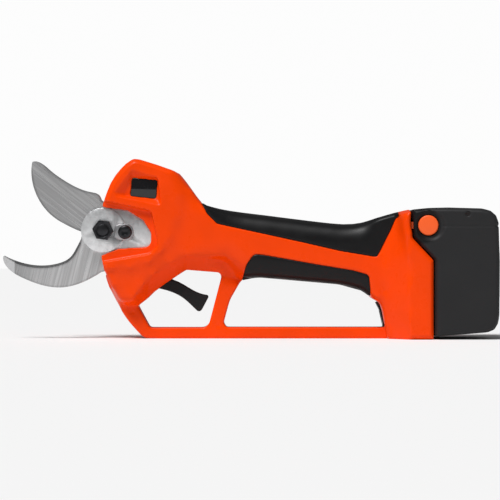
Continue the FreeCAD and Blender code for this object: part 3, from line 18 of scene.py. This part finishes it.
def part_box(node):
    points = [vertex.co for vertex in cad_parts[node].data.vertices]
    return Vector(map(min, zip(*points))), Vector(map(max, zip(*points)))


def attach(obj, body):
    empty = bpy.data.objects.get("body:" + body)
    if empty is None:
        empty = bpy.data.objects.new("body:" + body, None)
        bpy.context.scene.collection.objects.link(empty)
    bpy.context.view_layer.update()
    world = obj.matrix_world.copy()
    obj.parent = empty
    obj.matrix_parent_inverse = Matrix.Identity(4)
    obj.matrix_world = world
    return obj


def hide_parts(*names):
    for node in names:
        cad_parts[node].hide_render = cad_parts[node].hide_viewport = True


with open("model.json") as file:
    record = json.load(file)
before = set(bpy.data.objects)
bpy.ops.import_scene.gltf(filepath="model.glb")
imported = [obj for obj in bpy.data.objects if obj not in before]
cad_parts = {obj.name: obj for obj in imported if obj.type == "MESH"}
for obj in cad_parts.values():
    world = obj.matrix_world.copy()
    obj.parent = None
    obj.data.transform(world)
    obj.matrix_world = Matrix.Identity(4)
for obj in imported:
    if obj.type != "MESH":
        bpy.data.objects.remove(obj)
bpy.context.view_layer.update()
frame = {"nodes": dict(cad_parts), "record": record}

MM = 0.001
NODES = frame["nodes"]
BODIES = frame["record"]["behaviour"]["bodies"]
BODY_OF = {node: body for body, nodes in BODIES.items() for node in nodes}
SLOT_OF = {part["node"]: part["material_slot"] for part in frame["record"]["subparts"]}
JOINTS = {joint["name"]: joint for joint in frame["record"]["behaviour"]["joints"]}
PIVOT = Vector(JOINTS["blade_pivot"]["pos_m"])
SHARP = math.radians(28)


# ---------------------------------------------------------------- materials

class Finish:
    """A procedural material built step by step."""

    def __init__(self, name, colour, roughness, metallic=0.0, specular=0.5):
        self.material = bpy.data.materials.new(name)
        self.material.use_nodes = True
        self.tree = self.material.node_tree
        self.shader = self.tree.nodes["Principled BSDF"]
        self.shader.inputs["Base Color"].default_value = (*colour, 1)
        self.shader.inputs["Roughness"].default_value = roughness
        self.shader.inputs["Metallic"].default_value = metallic
        self.shader.inputs["Specular IOR Level"].default_value = specular
        self.material.diffuse_color = (*colour, 1)
        self.colour = colour
        self.roughness = roughness
        self.place = self.tree.nodes.new("ShaderNodeTexCoord").outputs["Object"]
        self.paint = None

    def link(self, source, target):
        """Join two sockets."""
        self.tree.links.new(source, target)

    def turned(self, angle, stretch):
        """Place turned about Y, then stretched, for directional grain."""
        mapping = self.tree.nodes.new("ShaderNodeMapping")
        mapping.inputs["Rotation"].default_value = (0, angle, 0)
        self.link(self.place, mapping.inputs["Vector"])
        scale = self.tree.nodes.new("ShaderNodeVectorMath")
        scale.operation = "MULTIPLY"
        scale.inputs[1].default_value = stretch
        self.link(mapping.outputs["Vector"], scale.inputs[0])
        return scale.outputs["Vector"]

    def noise(self, size, detail=3.0, place=None):
        """Noise with features of about the given size in metres."""
        texture = self.tree.nodes.new("ShaderNodeTexNoise")
        texture.inputs["Scale"].default_value = 1.0 if place else 1.0 / size
        texture.inputs["Detail"].default_value = detail
        self.link(place or self.place, texture.inputs["Vector"])
        return texture.outputs["Fac"]

    def ramp(self, source, low, high, start=0.3, end=0.7):
        """Map start to end onto low to high, held level beyond both."""
        span = self.tree.nodes.new("ShaderNodeMapRange")
        span.inputs["From Min"].default_value = start
        span.inputs["From Max"].default_value = end
        span.inputs["To Min"].default_value = low
        span.inputs["To Max"].default_value = high
        self.link(source, span.inputs["Value"])
        return span.outputs["Result"]

    def tint(self, amount, colour):
        """Mix a colour over what is painted so far."""
        mix = self.tree.nodes.new("ShaderNodeMix")
        mix.data_type = "RGBA"
        if self.paint is None:
            mix.inputs["A"].default_value = (*self.colour, 1)
        else:
            self.link(self.paint, mix.inputs["A"])
        mix.inputs["B"].default_value = (*colour, 1)
        self.link(amount, mix.inputs["Factor"])
        self.paint = mix.outputs["Result"]
        self.link(self.paint, self.shader.inputs["Base Color"])
        return self

    def rough(self, source, spread):
        """Vary the roughness around its value."""
        varied = self.ramp(source, self.roughness - spread, self.roughness + spread)
        self.link(varied, self.shader.inputs["Roughness"])
        return self

    def bump(self, source, depth, strength=0.5):
        """Add a fine relief of the given depth in metres."""
        bump = self.tree.nodes.new("ShaderNodeBump")
        bump.inputs["Strength"].default_value = strength
        bump.inputs["Distance"].default_value = depth
        self.link(source, bump.inputs["Height"])
        self.link(bump.outputs["Normal"], self.shader.inputs["Normal"])
        return self

    def highlit_edges(self, colour, start=0.53, end=0.6, most=0.5):
        """Lighten the convex edges, as a painted highlight."""
        geometry = self.tree.nodes.new("ShaderNodeNewGeometry")
        return self.tint(self.ramp(geometry.outputs["Pointiness"], 0.0, most, start, end), colour)

    def attribute(self, name):
        """A value stored on the mesh."""
        reader = self.tree.nodes.new("ShaderNodeAttribute")
        reader.attribute_name = name
        return reader.outputs["Fac"]

    def axis(self, letter):
        """One coordinate of the place, in metres."""
        split = self.tree.nodes.new("ShaderNodeSeparateXYZ")
        self.link(self.place, split.inputs["Vector"])
        return split.outputs[letter]

    def between(self, source, rise, fall):
        """1 between two soft steps, each given as the values where it starts and ends."""
        product = self.tree.nodes.new("ShaderNodeMath")
        product.operation = "MULTIPLY"
        self.link(self.ramp(source, 0.0, 1.0, *rise), product.inputs[0])
        self.link(self.ramp(source, 1.0, 0.0, *fall), product.inputs[1])
        return product.outputs["Value"]

    def around(self, centre):
        """Distance in the side view from a point, in metres."""
        flat = Vector((1, 0, 1))
        offset = self.tree.nodes.new("ShaderNodeVectorMath")
        offset.operation = "MULTIPLY_ADD"
        offset.inputs[1].default_value = flat
        offset.inputs[2].default_value = -centre * flat
        self.link(self.place, offset.inputs[0])
        length = self.tree.nodes.new("ShaderNodeVectorMath")
        length.operation = "LENGTH"
        self.link(offset.outputs["Vector"], length.inputs[0])
        return length.outputs["Value"]


def plastic(name, colour, roughness, texture=0.03 * MM, grain=0.5 * MM, specular=0.4, edge_highlight=None):
    """Moulded plastic with a spark-eroded texture, slight cloudiness and a painted highlight on its convex
    edges.
    """
    made = Finish(name, colour, roughness, specular=specular)
    cloud = made.noise(18 * MM, 2.0)
    darker = tuple(c * 0.86 for c in colour)
    made.tint(made.ramp(cloud, 0.0, 0.5), darker)
    if edge_highlight:
        # painted highlight along the convex edges
        made.highlit_edges(edge_highlight)
    made.rough(made.noise(6 * MM), 0.05)
    made.bump(made.noise(grain, 2.0), texture, 0.6)
    return made


def metal(name, colour, roughness, grain=0.35 * MM, depth=0.01 * MM):
    """Machined or plated metal with fine mottling and handling marks."""
    made = Finish(name, colour, roughness, metallic=1.0)
    darker = tuple(c * 0.7 for c in colour)
    made.tint(made.ramp(made.noise(3 * MM, 4.0), 0.0, 0.6), darker)
    made.rough(made.noise(1.5 * MM), 0.08)
    made.bump(made.noise(grain), depth, 0.4)
    return made


FINE_GRAIN = (40, 40, 3000)              # repeats per metre along, through and across
COARSE_GRAIN = (15, 15, 700)


def ground_steel(name, colour, roughness, angle, rim_shade):
    """Steel ground along one direction, with painted shade darkening its edges."""
    made = Finish(name, colour, roughness, metallic=1.0)
    lines = made.noise(1, 3.0, made.turned(angle, FINE_GRAIN))
    bands = made.noise(1, 2.0, made.turned(angle, COARSE_GRAIN))
    darker = tuple(c * 0.62 for c in colour)
    lighter = tuple(min(1.0, c * 1.35) for c in colour)
    made.tint(made.ramp(lines, 0.0, 0.6, 0.35, 0.7), darker)
    made.tint(made.ramp(bands, 0.0, 0.6, 0.45, 0.65), lighter)
    # painted shade darkening the edge walls and ground bevel, where the mesh's rim value is high
    made.tint(made.ramp(made.attribute("rim"), 0.0, 0.6, 0.0, 1.0), rim_shade)
    made.rough(lines, 0.1)
    made.bump(lines, 0.012 * MM, 0.5)
    return made


ORANGE = (0.95, 0.06, 0.0)
BLACK = (0.005, 0.005, 0.0055)
TIP_HIGHLIGHT = 7.3 * MM                     # length of the hook's tip painted bright as a highlight


def shell_orange():
    """Smooth orange nylon, a little lighter on its convex edges, where a highlight is painted."""
    return plastic("orange_shell", ORANGE, 0.3, 0.012 * MM, 0.4 * MM, 0.14, (1.0, 0.085, 0.005))


def hook_steel():
    """Hook steel with a painted highlight on its ground tip and painted shade in the sweep behind it."""
    made = ground_steel("hook_steel", (0.7, 0.7, 0.705), 0.36, math.radians(76), (0.25, 0.25, 0.255))
    across = made.axis("X")
    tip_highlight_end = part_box("hook_blade")[0].x + TIP_HIGHLIGHT
    # painted shade sweeping behind the tip
    shade_sweep = made.between(across, (tip_highlight_end, tip_highlight_end + 0.3 * MM), (tip_highlight_end + 1.7 * MM, tip_highlight_end + 12.7 * MM))
    made.tint(made.ramp(shade_sweep, 0.0, 0.45, 0.0, 1.0), (0.3, 0.3, 0.305))
    # painted highlight on the tip
    made.tint(made.ramp(across, 0.75, 0.0, tip_highlight_end, tip_highlight_end + 0.2 * MM), (0.92, 0.92, 0.93))
    return made


def boss_alloy():
    """Cast and blasted alloy, with painted shade beside the pivot nut."""
    made = metal("cheek_alloy", (0.86, 0.87, 0.88), 0.42, 0.45 * MM, 0.05 * MM)
    made.tint(made.ramp(made.noise(0.25 * MM, 1.0), 0.0, 0.35, 0.6, 0.75), (0.4, 0.41, 0.42))
    # painted shade in a band beside the pivot nut
    shade_band = made.between(made.axis("X"), (PIVOT.x + 5 * MM, PIVOT.x + 7 * MM),
                        (PIVOT.x + 8 * MM, PIVOT.x + 24 * MM))
    made.tint(made.ramp(shade_band, 0.0, 0.5, 0.0, 1.0), (0.42, 0.42, 0.43))
    return made


def grip_rubber():
    """Soft black grip with a fine matt texture."""
    return plastic("black_grip", BLACK, 0.42, 0.06 * MM, 0.55 * MM, 0.22, (0.012, 0.012, 0.012))


def battery_shell():
    """Textured black nylon, with painted shade in the ring around the release buttons."""
    made = plastic("battery_shell", (0.022, 0.022, 0.023), 0.5, 0.05 * MM, 0.45 * MM, 0.18,
                   (0.05, 0.05, 0.05))
    low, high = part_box("release_button_left")
    radius = (high.x - low.x) / 2
    away = made.around((low + high) / 2)
    # painted shade in the gap around the release button
    gap_shade = made.ramp(away, 0.85, 0.0, radius + 0.6 * MM, radius + 2.2 * MM)
    made.tint(gap_shade, (0.003, 0.003, 0.003))
    return made


FINISHES = {
    "orange_shell": shell_orange(),
    "black_grip": grip_rubber(),
    "battery_shell": battery_shell(),
    "trigger_plastic": plastic("trigger_plastic", (0.012, 0.012, 0.013), 0.55, 0.07 * MM, 0.5 * MM, 0.2,
                               (0.05, 0.05, 0.05)),
    "button_orange": plastic("button_orange", (1.0, 0.13, 0.02), 0.45, 0.02 * MM, 0.4 * MM, 0.35),
    "blade_steel": ground_steel("blade_steel", (0.6, 0.6, 0.605), 0.34, math.radians(-38),
                                (0.13, 0.13, 0.135)),
    "hook_steel": hook_steel(),
    "dark_steel": metal("dark_steel", (0.05, 0.05, 0.054), 0.36),
    "bright_steel": metal("bright_steel", (0.6, 0.6, 0.61), 0.28),
    "cheek_alloy": boss_alloy(),
    "lock_alloy": metal("lock_alloy", (0.42, 0.42, 0.43), 0.42),
    "bronze": metal("bronze", (0.5, 0.3, 0.12), 0.45),
    "copper": metal("copper", (0.62, 0.24, 0.1), 0.3),
    "magnet": metal("magnet", (0.24, 0.24, 0.25), 0.4),
    "laminations": metal("laminations", (0.25, 0.25, 0.25), 0.5),
    "board_green": plastic("board_green", (0.01, 0.13, 0.04), 0.35),
    "chip_black": plastic("chip_black", (0.015, 0.015, 0.015), 0.5),
    "lens_dark": plastic("lens_dark", (0.004, 0.004, 0.005), 0.08, 0.001 * MM, 2 * MM, 0.6),
    "switch_black": plastic("switch_black", (0.014, 0.014, 0.015), 0.35, 0.01 * MM),
    "cell_wrap": plastic("cell_wrap", (0.03, 0.24, 0.3), 0.3, 0.01 * MM),
    "nickel": metal("nickel", (0.62, 0.6, 0.55), 0.25),
    "light_dark": plastic("light_dark", (0.012, 0.008, 0.008), 0.2, 0.001 * MM),
    "spring_steel": metal("spring_steel", (0.45, 0.45, 0.46), 0.3),
}


# ---------------------------------------------------------------- mesh helpers

def add_piece(name, mesh, *nodes):
    """Show a mesh in place of some CAD nodes, riding on their body."""
    piece = bpy.data.objects.new(name, mesh)
    bpy.context.scene.collection.objects.link(piece)
    mesh.materials.clear()
    mesh.materials.append(FINISHES[SLOT_OF[nodes[0]]].material)
    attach(piece, BODY_OF[nodes[0]])
    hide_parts(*nodes)
    return piece


def welded(name, *nodes):
    """Object with the CAD surfaces of some nodes, seams closed."""
    mesh = bpy.data.meshes.new(name)
    work = bmesh.new()
    for node in nodes:
        work.from_mesh(NODES[node].data)
    bmesh.ops.remove_doubles(work, verts=work.verts, dist=1e-6)
    work.to_mesh(mesh)
    work.free()
    return bpy.data.objects.new(name, mesh)


def with_modifiers(thing):
    """The thing's mesh with its modifiers applied; the thing itself goes."""
    bpy.context.scene.collection.objects.link(thing)
    graph = bpy.context.evaluated_depsgraph_get()
    mesh = bpy.data.meshes.new_from_object(thing.evaluated_get(graph))
    bpy.data.objects.remove(thing)
    return mesh


def points_of(mesh):
    """The mesh's points as rows of an array."""
    flat = np.empty(len(mesh.vertices) * 3)
    mesh.vertices.foreach_get("co", flat)
    return flat.reshape(-1, 3)


def set_points(mesh, points):
    """Move the mesh's points to the rows of an array."""
    mesh.vertices.foreach_set("co", points.ravel())
    mesh.update()


def shade(mesh, angle):
    """Smooth shading, with sharp edges above an angle if one is given."""
    mesh.shade_smooth()
    if angle:
        mesh.set_sharp_from_angle(angle=angle)


SOFT_SPOTS = (                           # mm behind the pivot, height, radius
    (10, 26, 9), (17, 35, 8), (12, 40, 7), (24, 42, 8), (36, 47, 7),
    (45, 56, 9), (50, 68, 11), (53, 82, 12), (50, 98, 10), (62, 60, 12), (80, 42, 9),
    (181, 60, 12), (181, 42, 14), (181, 20, 12), (186, 72, 9),
)
BLEND_STEP = 0.6
SEAM_KEPT = (2 * MM, 5 * MM)             # no blending nearer the middle, all of it farther out


def blend_weight(points):
    """How far each point of the shell takes part in the blending, from 0 to 1."""
    weight = np.zeros(len(points))
    for across, up, radius in SOFT_SPOTS:
        away = np.hypot(points[:, 0] - PIVOT.x - across * MM, points[:, 2] - up * MM)
        weight = np.maximum(weight, 1 - smoothstep(away, radius * 0.4 * MM, radius * MM))
    return weight * smoothstep(abs(points[:, 1]), *SEAM_KEPT)


def relaxed(mesh, rounds):
    """Blend the shell's soft transitions by averaging neighbouring points."""
    points = points_of(mesh)
    weight = blend_weight(points)[:, None]
    ends = np.empty(len(mesh.edges) * 2, int)
    mesh.edges.foreach_get("vertices", ends)
    first, second = ends[::2], ends[1::2]
    count = np.bincount(ends, minlength=len(points))[:, None]
    for _ in range(rounds):
        total = np.zeros_like(points)
        for axis in range(3):
            total[:, axis] = np.bincount(first, points[second, axis], len(points))
            total[:, axis] += np.bincount(second, points[first, axis], len(points))
        points += weight * BLEND_STEP * (total / count - points)
    set_points(mesh, points)


def moulded(name, nodes, voxel, rounds, shape=None, blend=0):
    """Soft-edged moulding: the CAD surface remeshed, smoothed, shaped and blended."""
    thing = welded(name, *nodes)
    remesh = thing.modifiers.new("remesh", "REMESH")
    remesh.mode = "VOXEL"
    remesh.voxel_size = voxel
    smooth = thing.modifiers.new("smooth", "SMOOTH")
    smooth.factor = 0.5
    smooth.iterations = rounds
    mesh = with_modifiers(thing)
    if shape:
        set_points(mesh, shape(points_of(mesh)))
    if blend:
        relaxed(mesh, blend)
    shade(mesh, None)
    return add_piece(name, mesh, *nodes)


def machined(name, node, edge):
    """Hard part with its edges broken by a small round."""
    thing = welded(name, node)
    work = bmesh.new()
    work.from_mesh(thing.data)
    bmesh.ops.dissolve_limit(work, angle_limit=math.radians(1), verts=work.verts, edges=work.edges)
    work.to_mesh(thing.data)
    work.free()
    bevel = thing.modifiers.new("bevel", "BEVEL")
    bevel.width = edge
    bevel.segments = 2
    bevel.limit_method = "ANGLE"
    bevel.angle_limit = SHARP
    mesh = with_modifiers(thing)
    shade(mesh, math.radians(40))
    return add_piece(name, mesh, node)


# ---------------------------------------------------------------- handle crown

CELL = 1.0 * MM
CROWN_DEPTH = 13 * MM                    # how far in from the outline the side keeps rising
RIM_SHARE = 0.45                         # width left at the outline
BLUR_ROUNDS = 34
MARGIN = 10                              # empty cells around the outline
SIDE_LEVEL = 11 * MM                     # faces farther out than this belong to the side
FADE_IN = 28 * MM                        # the crown starts over this length behind the head
FADE_OUT = (-8 * MM, 6 * MM)             # and ends between these, about the finger grip's end


def smoothstep(value, start, end):
    """0 up to start, 1 from end on, and a smooth rise between."""
    share = np.clip((value - start) / (end - start), 0, 1)
    return share * share * (3 - 2 * share)


class Outline:
    """Smoothed distance inside the handle's outline, seen from the side."""

    def __init__(self, nodes, beyond):
        points = np.vstack([points_of(NODES[node].data) for node in nodes])
        self.low = points[:, (0, 2)].min(axis=0) - MARGIN * CELL
        size = ((points[:, (0, 2)].max(axis=0) - self.low) / CELL).astype(int) + MARGIN
        filled = self.fill(nodes, beyond, size)
        self.field = self.blurred(self.distance(filled) - self.distance(~filled))

    def fill(self, nodes, beyond, size):
        """Cells covered by faces that lie farther toward the camera than a level."""
        filled = np.zeros(size, bool)
        for node in nodes:
            mesh = NODES[node].data
            mesh.calc_loop_triangles()
            points = points_of(mesh)
            for triangle in mesh.loop_triangles:
                corners = points[list(triangle.vertices)]
                if corners[:, 1].max() < -beyond:
                    self.cover(filled, (corners[:, (0, 2)] - self.low) / CELL)
        return filled

    def cover(self, filled, corners):
        """Mark the cells inside one triangle."""
        first = np.floor(corners.min(axis=0)).astype(int)
        last = np.ceil(corners.max(axis=0)).astype(int) + 1
        across, up = np.meshgrid(np.arange(first[0], last[0]), np.arange(first[1], last[1]), indexing="ij")
        sides = []
        for i in range(3):
            a, b = corners[i], corners[(i + 1) % 3]
            sides.append((b[0] - a[0]) * (up - a[1]) - (b[1] - a[1]) * (across - a[0]))
        inside = np.all(np.array(sides) >= 0, axis=0) | np.all(np.array(sides) <= 0, axis=0)
        filled[first[0]:last[0], first[1]:last[1]] |= inside

    def distance(self, mask):
        """Distance from each marked cell to the nearest unmarked one."""
        spots = np.argwhere(~mask)
        tree = KDTree(len(spots))
        for index, (i, j) in enumerate(spots):
            tree.insert((i, j, 0), index)
        tree.balance()
        far = np.zeros(mask.shape)
        for i, j in np.argwhere(mask):
            far[i, j] = tree.find((i, j, 0))[2] * CELL
        return far

    def blurred(self, field):
        """The field, each cell averaged again and again with its neighbours."""
        for _ in range(BLUR_ROUNDS):
            edged = np.pad(field, 1, mode="edge")
            field = (edged[:-2, 1:-1] + edged[2:, 1:-1] + edged[1:-1, :-2] + edged[1:-1, 2:]
                     + 2 * edged[1:-1, 1:-1]) / 6
        return field

    def depth(self, points):
        """Interpolated depth inside the outline; negative outside."""
        spot = (points[:, (0, 2)] - self.low) / CELL
        spot = np.clip(spot, 0, np.array(self.field.shape) - 1.001)
        cell = spot.astype(int)
        share = spot - cell
        i, j = cell[:, 0], cell[:, 1]
        u, v = share[:, 0], share[:, 1]
        near = self.field[i, j] * (1 - u) + self.field[i + 1, j] * u
        far = self.field[i, j + 1] * (1 - u) + self.field[i + 1, j + 1] * u
        return near * (1 - v) + far * v


handle_outline = Outline(["housing_left", "palm_grip", "finger_grip"], SIDE_LEVEL)


def crowned(points):
    """Round the handle's sides between the head and the battery seat."""
    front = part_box("palm_grip")[0].x
    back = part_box("finger_grip")[1].x
    weight = smoothstep(points[:, 0], front, front + FADE_IN)
    weight *= 1 - smoothstep(points[:, 0], back + FADE_OUT[0], back + FADE_OUT[1])
    depth = handle_outline.depth(points)
    inside = np.clip(depth / CROWN_DEPTH, 0, 1)
    rise = np.sqrt(1 - (1 - inside) ** 2)
    outside = smoothstep(-depth, 1 * MM, 8 * MM)
    share = RIM_SHARE + (1 - RIM_SHARE) * np.maximum(rise, outside)
    shaped = points.copy()
    shaped[:, 1] *= 1 + weight * (share - 1)
    return shaped


def seamed(points):
    """Groove where the battery's lid meets its case, from the release catch backward."""
    low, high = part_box("battery_case")
    middle = (low + high) / 2
    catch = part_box("release_button_left")[1].x
    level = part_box("battery_lid")[0].z
    width = 0.55 * MM
    depth = 0.45 * MM
    groove = 1 - smoothstep(abs(points[:, 2] - level), width * 0.4, width * 1.6)
    groove *= smoothstep(points[:, 0], catch + 1 * MM, catch + 4 * MM)
    shaped = points.copy()
    for axis in (0, 1):
        shaped[:, axis] -= groove * depth * np.sign(points[:, axis] - middle[axis])
    return shaped


# ---------------------------------------------------------------- blades

BROKEN_EDGE = 0.2 * MM
TIP_TAPER = 10 * MM                      # insets shrink within this distance of the tip


def flat_loops(node):
    """Outline and hole loops of a plate's camera-side face, longest first, and its two levels."""
    work = bmesh.new()
    work.from_mesh(NODES[node].data)
    bmesh.ops.remove_doubles(work, verts=work.verts, dist=1e-6)
    near = min(v.co.y for v in work.verts)
    far = max(v.co.y for v in work.verts)
    flat = {f for f in work.faces if all(abs(v.co.y - near) < 1e-6 for v in f.verts)}
    edges = [e for e in work.edges if len(flat.intersection(e.link_faces)) == 1]
    loops = []
    while edges:
        edge = edges.pop(0)
        first, here = edge.verts
        loop = [first.co.copy()]
        while here is not first:
            loop.append(here.co.copy())
            edge = next(e for e in here.link_edges if e in edges)
            edges.remove(edge)
            here = edge.other_vert(here)
        loops.append(np.array([(p.x, p.z) for p in loop]))
    work.free()
    loops.sort(key=length_of, reverse=True)
    return [counter_clockwise(loop) for loop in loops], near, far


def length_of(loop):
    """Length once around a closed loop."""
    return np.linalg.norm(loop - np.roll(loop, 1, axis=0), axis=1).sum()


def counter_clockwise(loop):
    """The loop, reversed if its area says that it runs clockwise."""
    ahead = np.roll(loop, -1, axis=0)
    area = (loop[:, 0] * ahead[:, 1] - ahead[:, 0] * loop[:, 1]).sum()
    return loop if area > 0 else loop[::-1]


def respaced(loop, step):
    """The loop with evenly spaced points."""
    closed = np.vstack([loop, loop[:1]])
    run = np.concatenate([[0], np.cumsum(np.linalg.norm(np.diff(closed, axis=0), axis=1))])
    spots = np.linspace(0, run[-1], int(run[-1] / step), endpoint=False)
    return np.column_stack([np.interp(spots, run, closed[:, k]) for k in (0, 1)])


def inward(loop):
    """Inward normal at each point of a counter-clockwise loop."""
    run = np.roll(loop, -2, axis=0) - np.roll(loop, 2, axis=0)
    run /= np.linalg.norm(run, axis=1)[:, None]
    return np.column_stack([-run[:, 1], run[:, 0]])


def edge_share(loop, tip, root):
    """1 along the shorter way from tip to root, fading at both ends, and 0 elsewhere."""
    count = len(loop)
    first = int(np.argmin(np.linalg.norm(loop - tip, axis=1)))
    last = int(np.argmin(np.linalg.norm(loop - root, axis=1)))
    forward = (last - first) % count
    step, length = (1, forward) if forward < count / 2 else (-1, count - forward)
    share = np.zeros(count)
    for k in range(length + 1):
        along = k / length
        share[(first + step * k) % count] = min(1, 0.25 + 6 * along, 14 * (1 - along))
    return share


def blade_rows(outline, tip, root, level, bevel, rim):
    """Rings from the plain face to the ground one: sideways shift, depth and painted rim shade."""
    cut = edge_share(outline, tip, root)[:, None]
    room = np.clip(np.linalg.norm(outline - tip, axis=1) / TIP_TAPER, 0.02, 1)[:, None]
    normals = inward(outline) * room
    plain = normals * BROKEN_EDGE
    ground = plain * (1 - cut) + normals * bevel * cut
    back = np.where(cut[:, 0] > 0, 2 * BROKEN_EDGE, level - BROKEN_EDGE)
    return [
        (plain + normals * rim, 0.0, 0.0),
        (plain, 0.0, 1.0),
        (normals * 0, BROKEN_EDGE, 1.0),
        (normals * 0, back, 1.0),
        (ground, level, 0.75),
        (ground + normals * rim, level, 0.0),
    ]


def blade_rings(work, outline, rows, near, level, camera_side):
    """A ring of points for each row, counted from the plain face to the ground one."""
    # rim: how much painted shade each ring takes
    layer = work.verts.layers.float.new("rim")
    rings = []
    for shift, depth, value in rows:
        depth = np.broadcast_to(depth, len(outline))
        depth = level - depth if camera_side else depth
        ring = []
        for spot, y in zip(outline + shift, depth):
            vert = work.verts.new((spot[0], near + y, spot[1]))
            vert[layer] = value
            ring.append(vert)
        rings.append(ring)
    return rings


def skin(work, walls):
    """Join each wall's rings with faces and close both flat sides."""
    for wall in walls:
        for low, high in zip(wall, wall[1:]):
            for i in range(len(low)):
                work.faces.new((low[i - 1], low[i], high[i], high[i - 1]))
    for k in (0, -1):
        rims = [work.edges.get((wall[k][i - 1], wall[k][i])) for wall in walls for i in range(len(wall[k]))]
        bmesh.ops.triangle_fill(work, use_beauty=True, use_dissolve=False, edges=rims)
    bmesh.ops.recalc_face_normals(work, faces=work.faces)


def ground_blade(name, node, tip, root, bevel, camera_side, rim):
    """Blade from its CAD outline, with a ground bevel along its cutting edge."""
    loops, near, far = flat_loops(node)
    outline = respaced(loops[0], 0.8 * MM)
    level = far - near
    rows = blade_rows(outline, tip, root, level, bevel, rim)
    work = bmesh.new()
    rings = blade_rings(work, outline, rows, near, level, camera_side)
    walls = [rings]
    for hole in loops[1:]:
        walls.append([[work.verts.new((x, y, z)) for x, z in hole[::-1]] for y in (near, far)])
    if camera_side:
        rings.reverse()
    skin(work, walls)
    mesh = bpy.data.meshes.new(name)
    work.to_mesh(mesh)
    work.free()
    shade(mesh, math.radians(20))
    return add_piece(name, mesh, node)


def build_blades():
    """Moving blade ground on its far side and hook ground on its camera side.

    The edge is ground from the tip to a root given from the pivot; then come the bevel's width, the side it
    is on and the width of the rim painted darker as shade.
    """
    pivot = np.array([PIVOT.x, PIVOT.z])
    for name, node, root, bevel, camera_side, rim in (
            ("moving_blade", "cutting_blade", (-12.4 * MM, -1 * MM), 5 * MM, False, 1.5 * MM),
            ("fixed_hook", "hook_blade", (-14.2 * MM, -4.5 * MM), 1.6 * MM, True, 1.2 * MM)):
        loop = flat_loops(node)[0][0]
        tip = loop[np.argmax(np.linalg.norm(loop - pivot, axis=1))]
        ground_blade(name, node, tip, pivot + root, bevel, camera_side, rim)


# ---------------------------------------------------------------- build

def build_mouldings():
    """Shells, grips, battery block and trigger: voxel size, smoothing, shape and blending."""
    for name, nodes, voxel, rounds, shape, blend in (
            ("shell_near", ["housing_left"], 0.7 * MM, 5, crowned, 110),
            ("shell_far", ["housing_right"], 0.7 * MM, 5, crowned, 110),
            ("soft_palm", ["palm_grip"], 0.6 * MM, 8, crowned, 0),
            ("soft_fingers", ["finger_grip"], 0.6 * MM, 8, crowned, 0),
            ("battery_block", ["battery_case", "battery_lid"], 0.7 * MM, 7, seamed, 0),
            ("finger_trigger", ["trigger"], 0.45 * MM, 6, None, 0)):
        moulded(name, nodes, voxel, rounds, shape, blend)


def build_machined():
    """Hard parts, each with the width of its broken edges."""
    for name, node, edge in (
            ("cheek_plate", "side_plate", 0.5 * MM), ("nut", "pivot_nut", 0.45 * MM),
            ("keyhole_plate", "nut_lock_plate", 0.25 * MM), ("lock_bolt", "lock_screw", 0.2 * MM),
            ("rear_frame", "head_frame", 0.6 * MM), ("pivot_pin", "pivot_bolt", 0.25 * MM),
            ("catch_near", "release_button_left", 0.4 * MM),
            ("catch_far", "release_button_right", 0.4 * MM),
            ("switch_rocker", "power_rocker", 0.3 * MM), ("switch_case", "switch_body", 0.2 * MM),
            ("display_glass", "display_lens", 0.2 * MM)):
        machined(name, node, edge)


def dress_nodes():
    """Give every CAD node its finish."""
    for node, thing in NODES.items():
        thing.data.materials.clear()
        thing.data.materials.append(FINISHES[SLOT_OF[node]].material)


ROOM_LIGHT = 0.16                        # how strongly the surroundings light the object
BACKDROP = 0.98                          # how bright they look to the camera


def build_stage():
    """Pale floor and white surroundings."""
    mesh = bpy.data.meshes.new("floor")
    half = 6.0
    mesh.from_pydata([(-half, -half, 0), (half, -half, 0), (half, half, 0), (-half, half, 0)], [],
                     [(0, 1, 2, 3)])
    floor = bpy.data.objects.new("floor", mesh)
    paper = Finish("floor_paper", (0.93, 0.93, 0.93), 0.85, specular=0.1)
    paper.bump(paper.noise(2 * MM), 0.02 * MM, 0.3)
    mesh.materials.append(paper.material)
    bpy.context.scene.collection.objects.link(floor)
    world = bpy.data.worlds.new("studio")
    world.use_nodes = True
    background = world.node_tree.nodes["Background"]
    background.inputs["Color"].default_value = (1, 1, 1, 1)
    seen = world.node_tree.nodes.new("ShaderNodeLightPath").outputs["Is Camera Ray"]
    strength = world.node_tree.nodes.new("ShaderNodeMapRange")
    strength.inputs["To Min"].default_value = ROOM_LIGHT
    strength.inputs["To Max"].default_value = BACKDROP
    world.node_tree.links.new(seen, strength.inputs["Value"])
    world.node_tree.links.new(strength.outputs["Result"], background.inputs["Strength"])
    bpy.context.scene.world = world
    bpy.context.scene.view_settings.view_transform = "Standard"


def build_light():
    """Even soft light from above the camera's left shoulder."""
    light = bpy.data.lights.new("key", "SUN")
    light.energy = 3.1
    light.angle = math.radians(24)
    lamp = bpy.data.objects.new("key", light)
    lamp.rotation_euler = Vector((0.3, 0.5, -1.0)).to_track_quat("-Z", "Y").to_euler()
    bpy.context.scene.collection.objects.link(lamp)


def build_camera():
    """Level camera square to the side, framed as in the photograph."""
    camera = bpy.data.cameras.new("camera")
    distance = 1.6
    width_seen = 0.3125
    side_face = -0.015
    eye_height = 0.0555
    camera.sensor_width = 36
    camera.lens = camera.sensor_width * distance / width_seen
    seer = bpy.data.objects.new("camera", camera)
    seer.location = (0, side_face - distance, eye_height)
    seer.rotation_euler = (math.radians(90), 0, 0)
    bpy.context.scene.collection.objects.link(seer)
    bpy.context.scene.camera = seer


dress_nodes()
build_mouldings()
build_blades()
build_machined()
build_stage()
build_light()
build_camera()
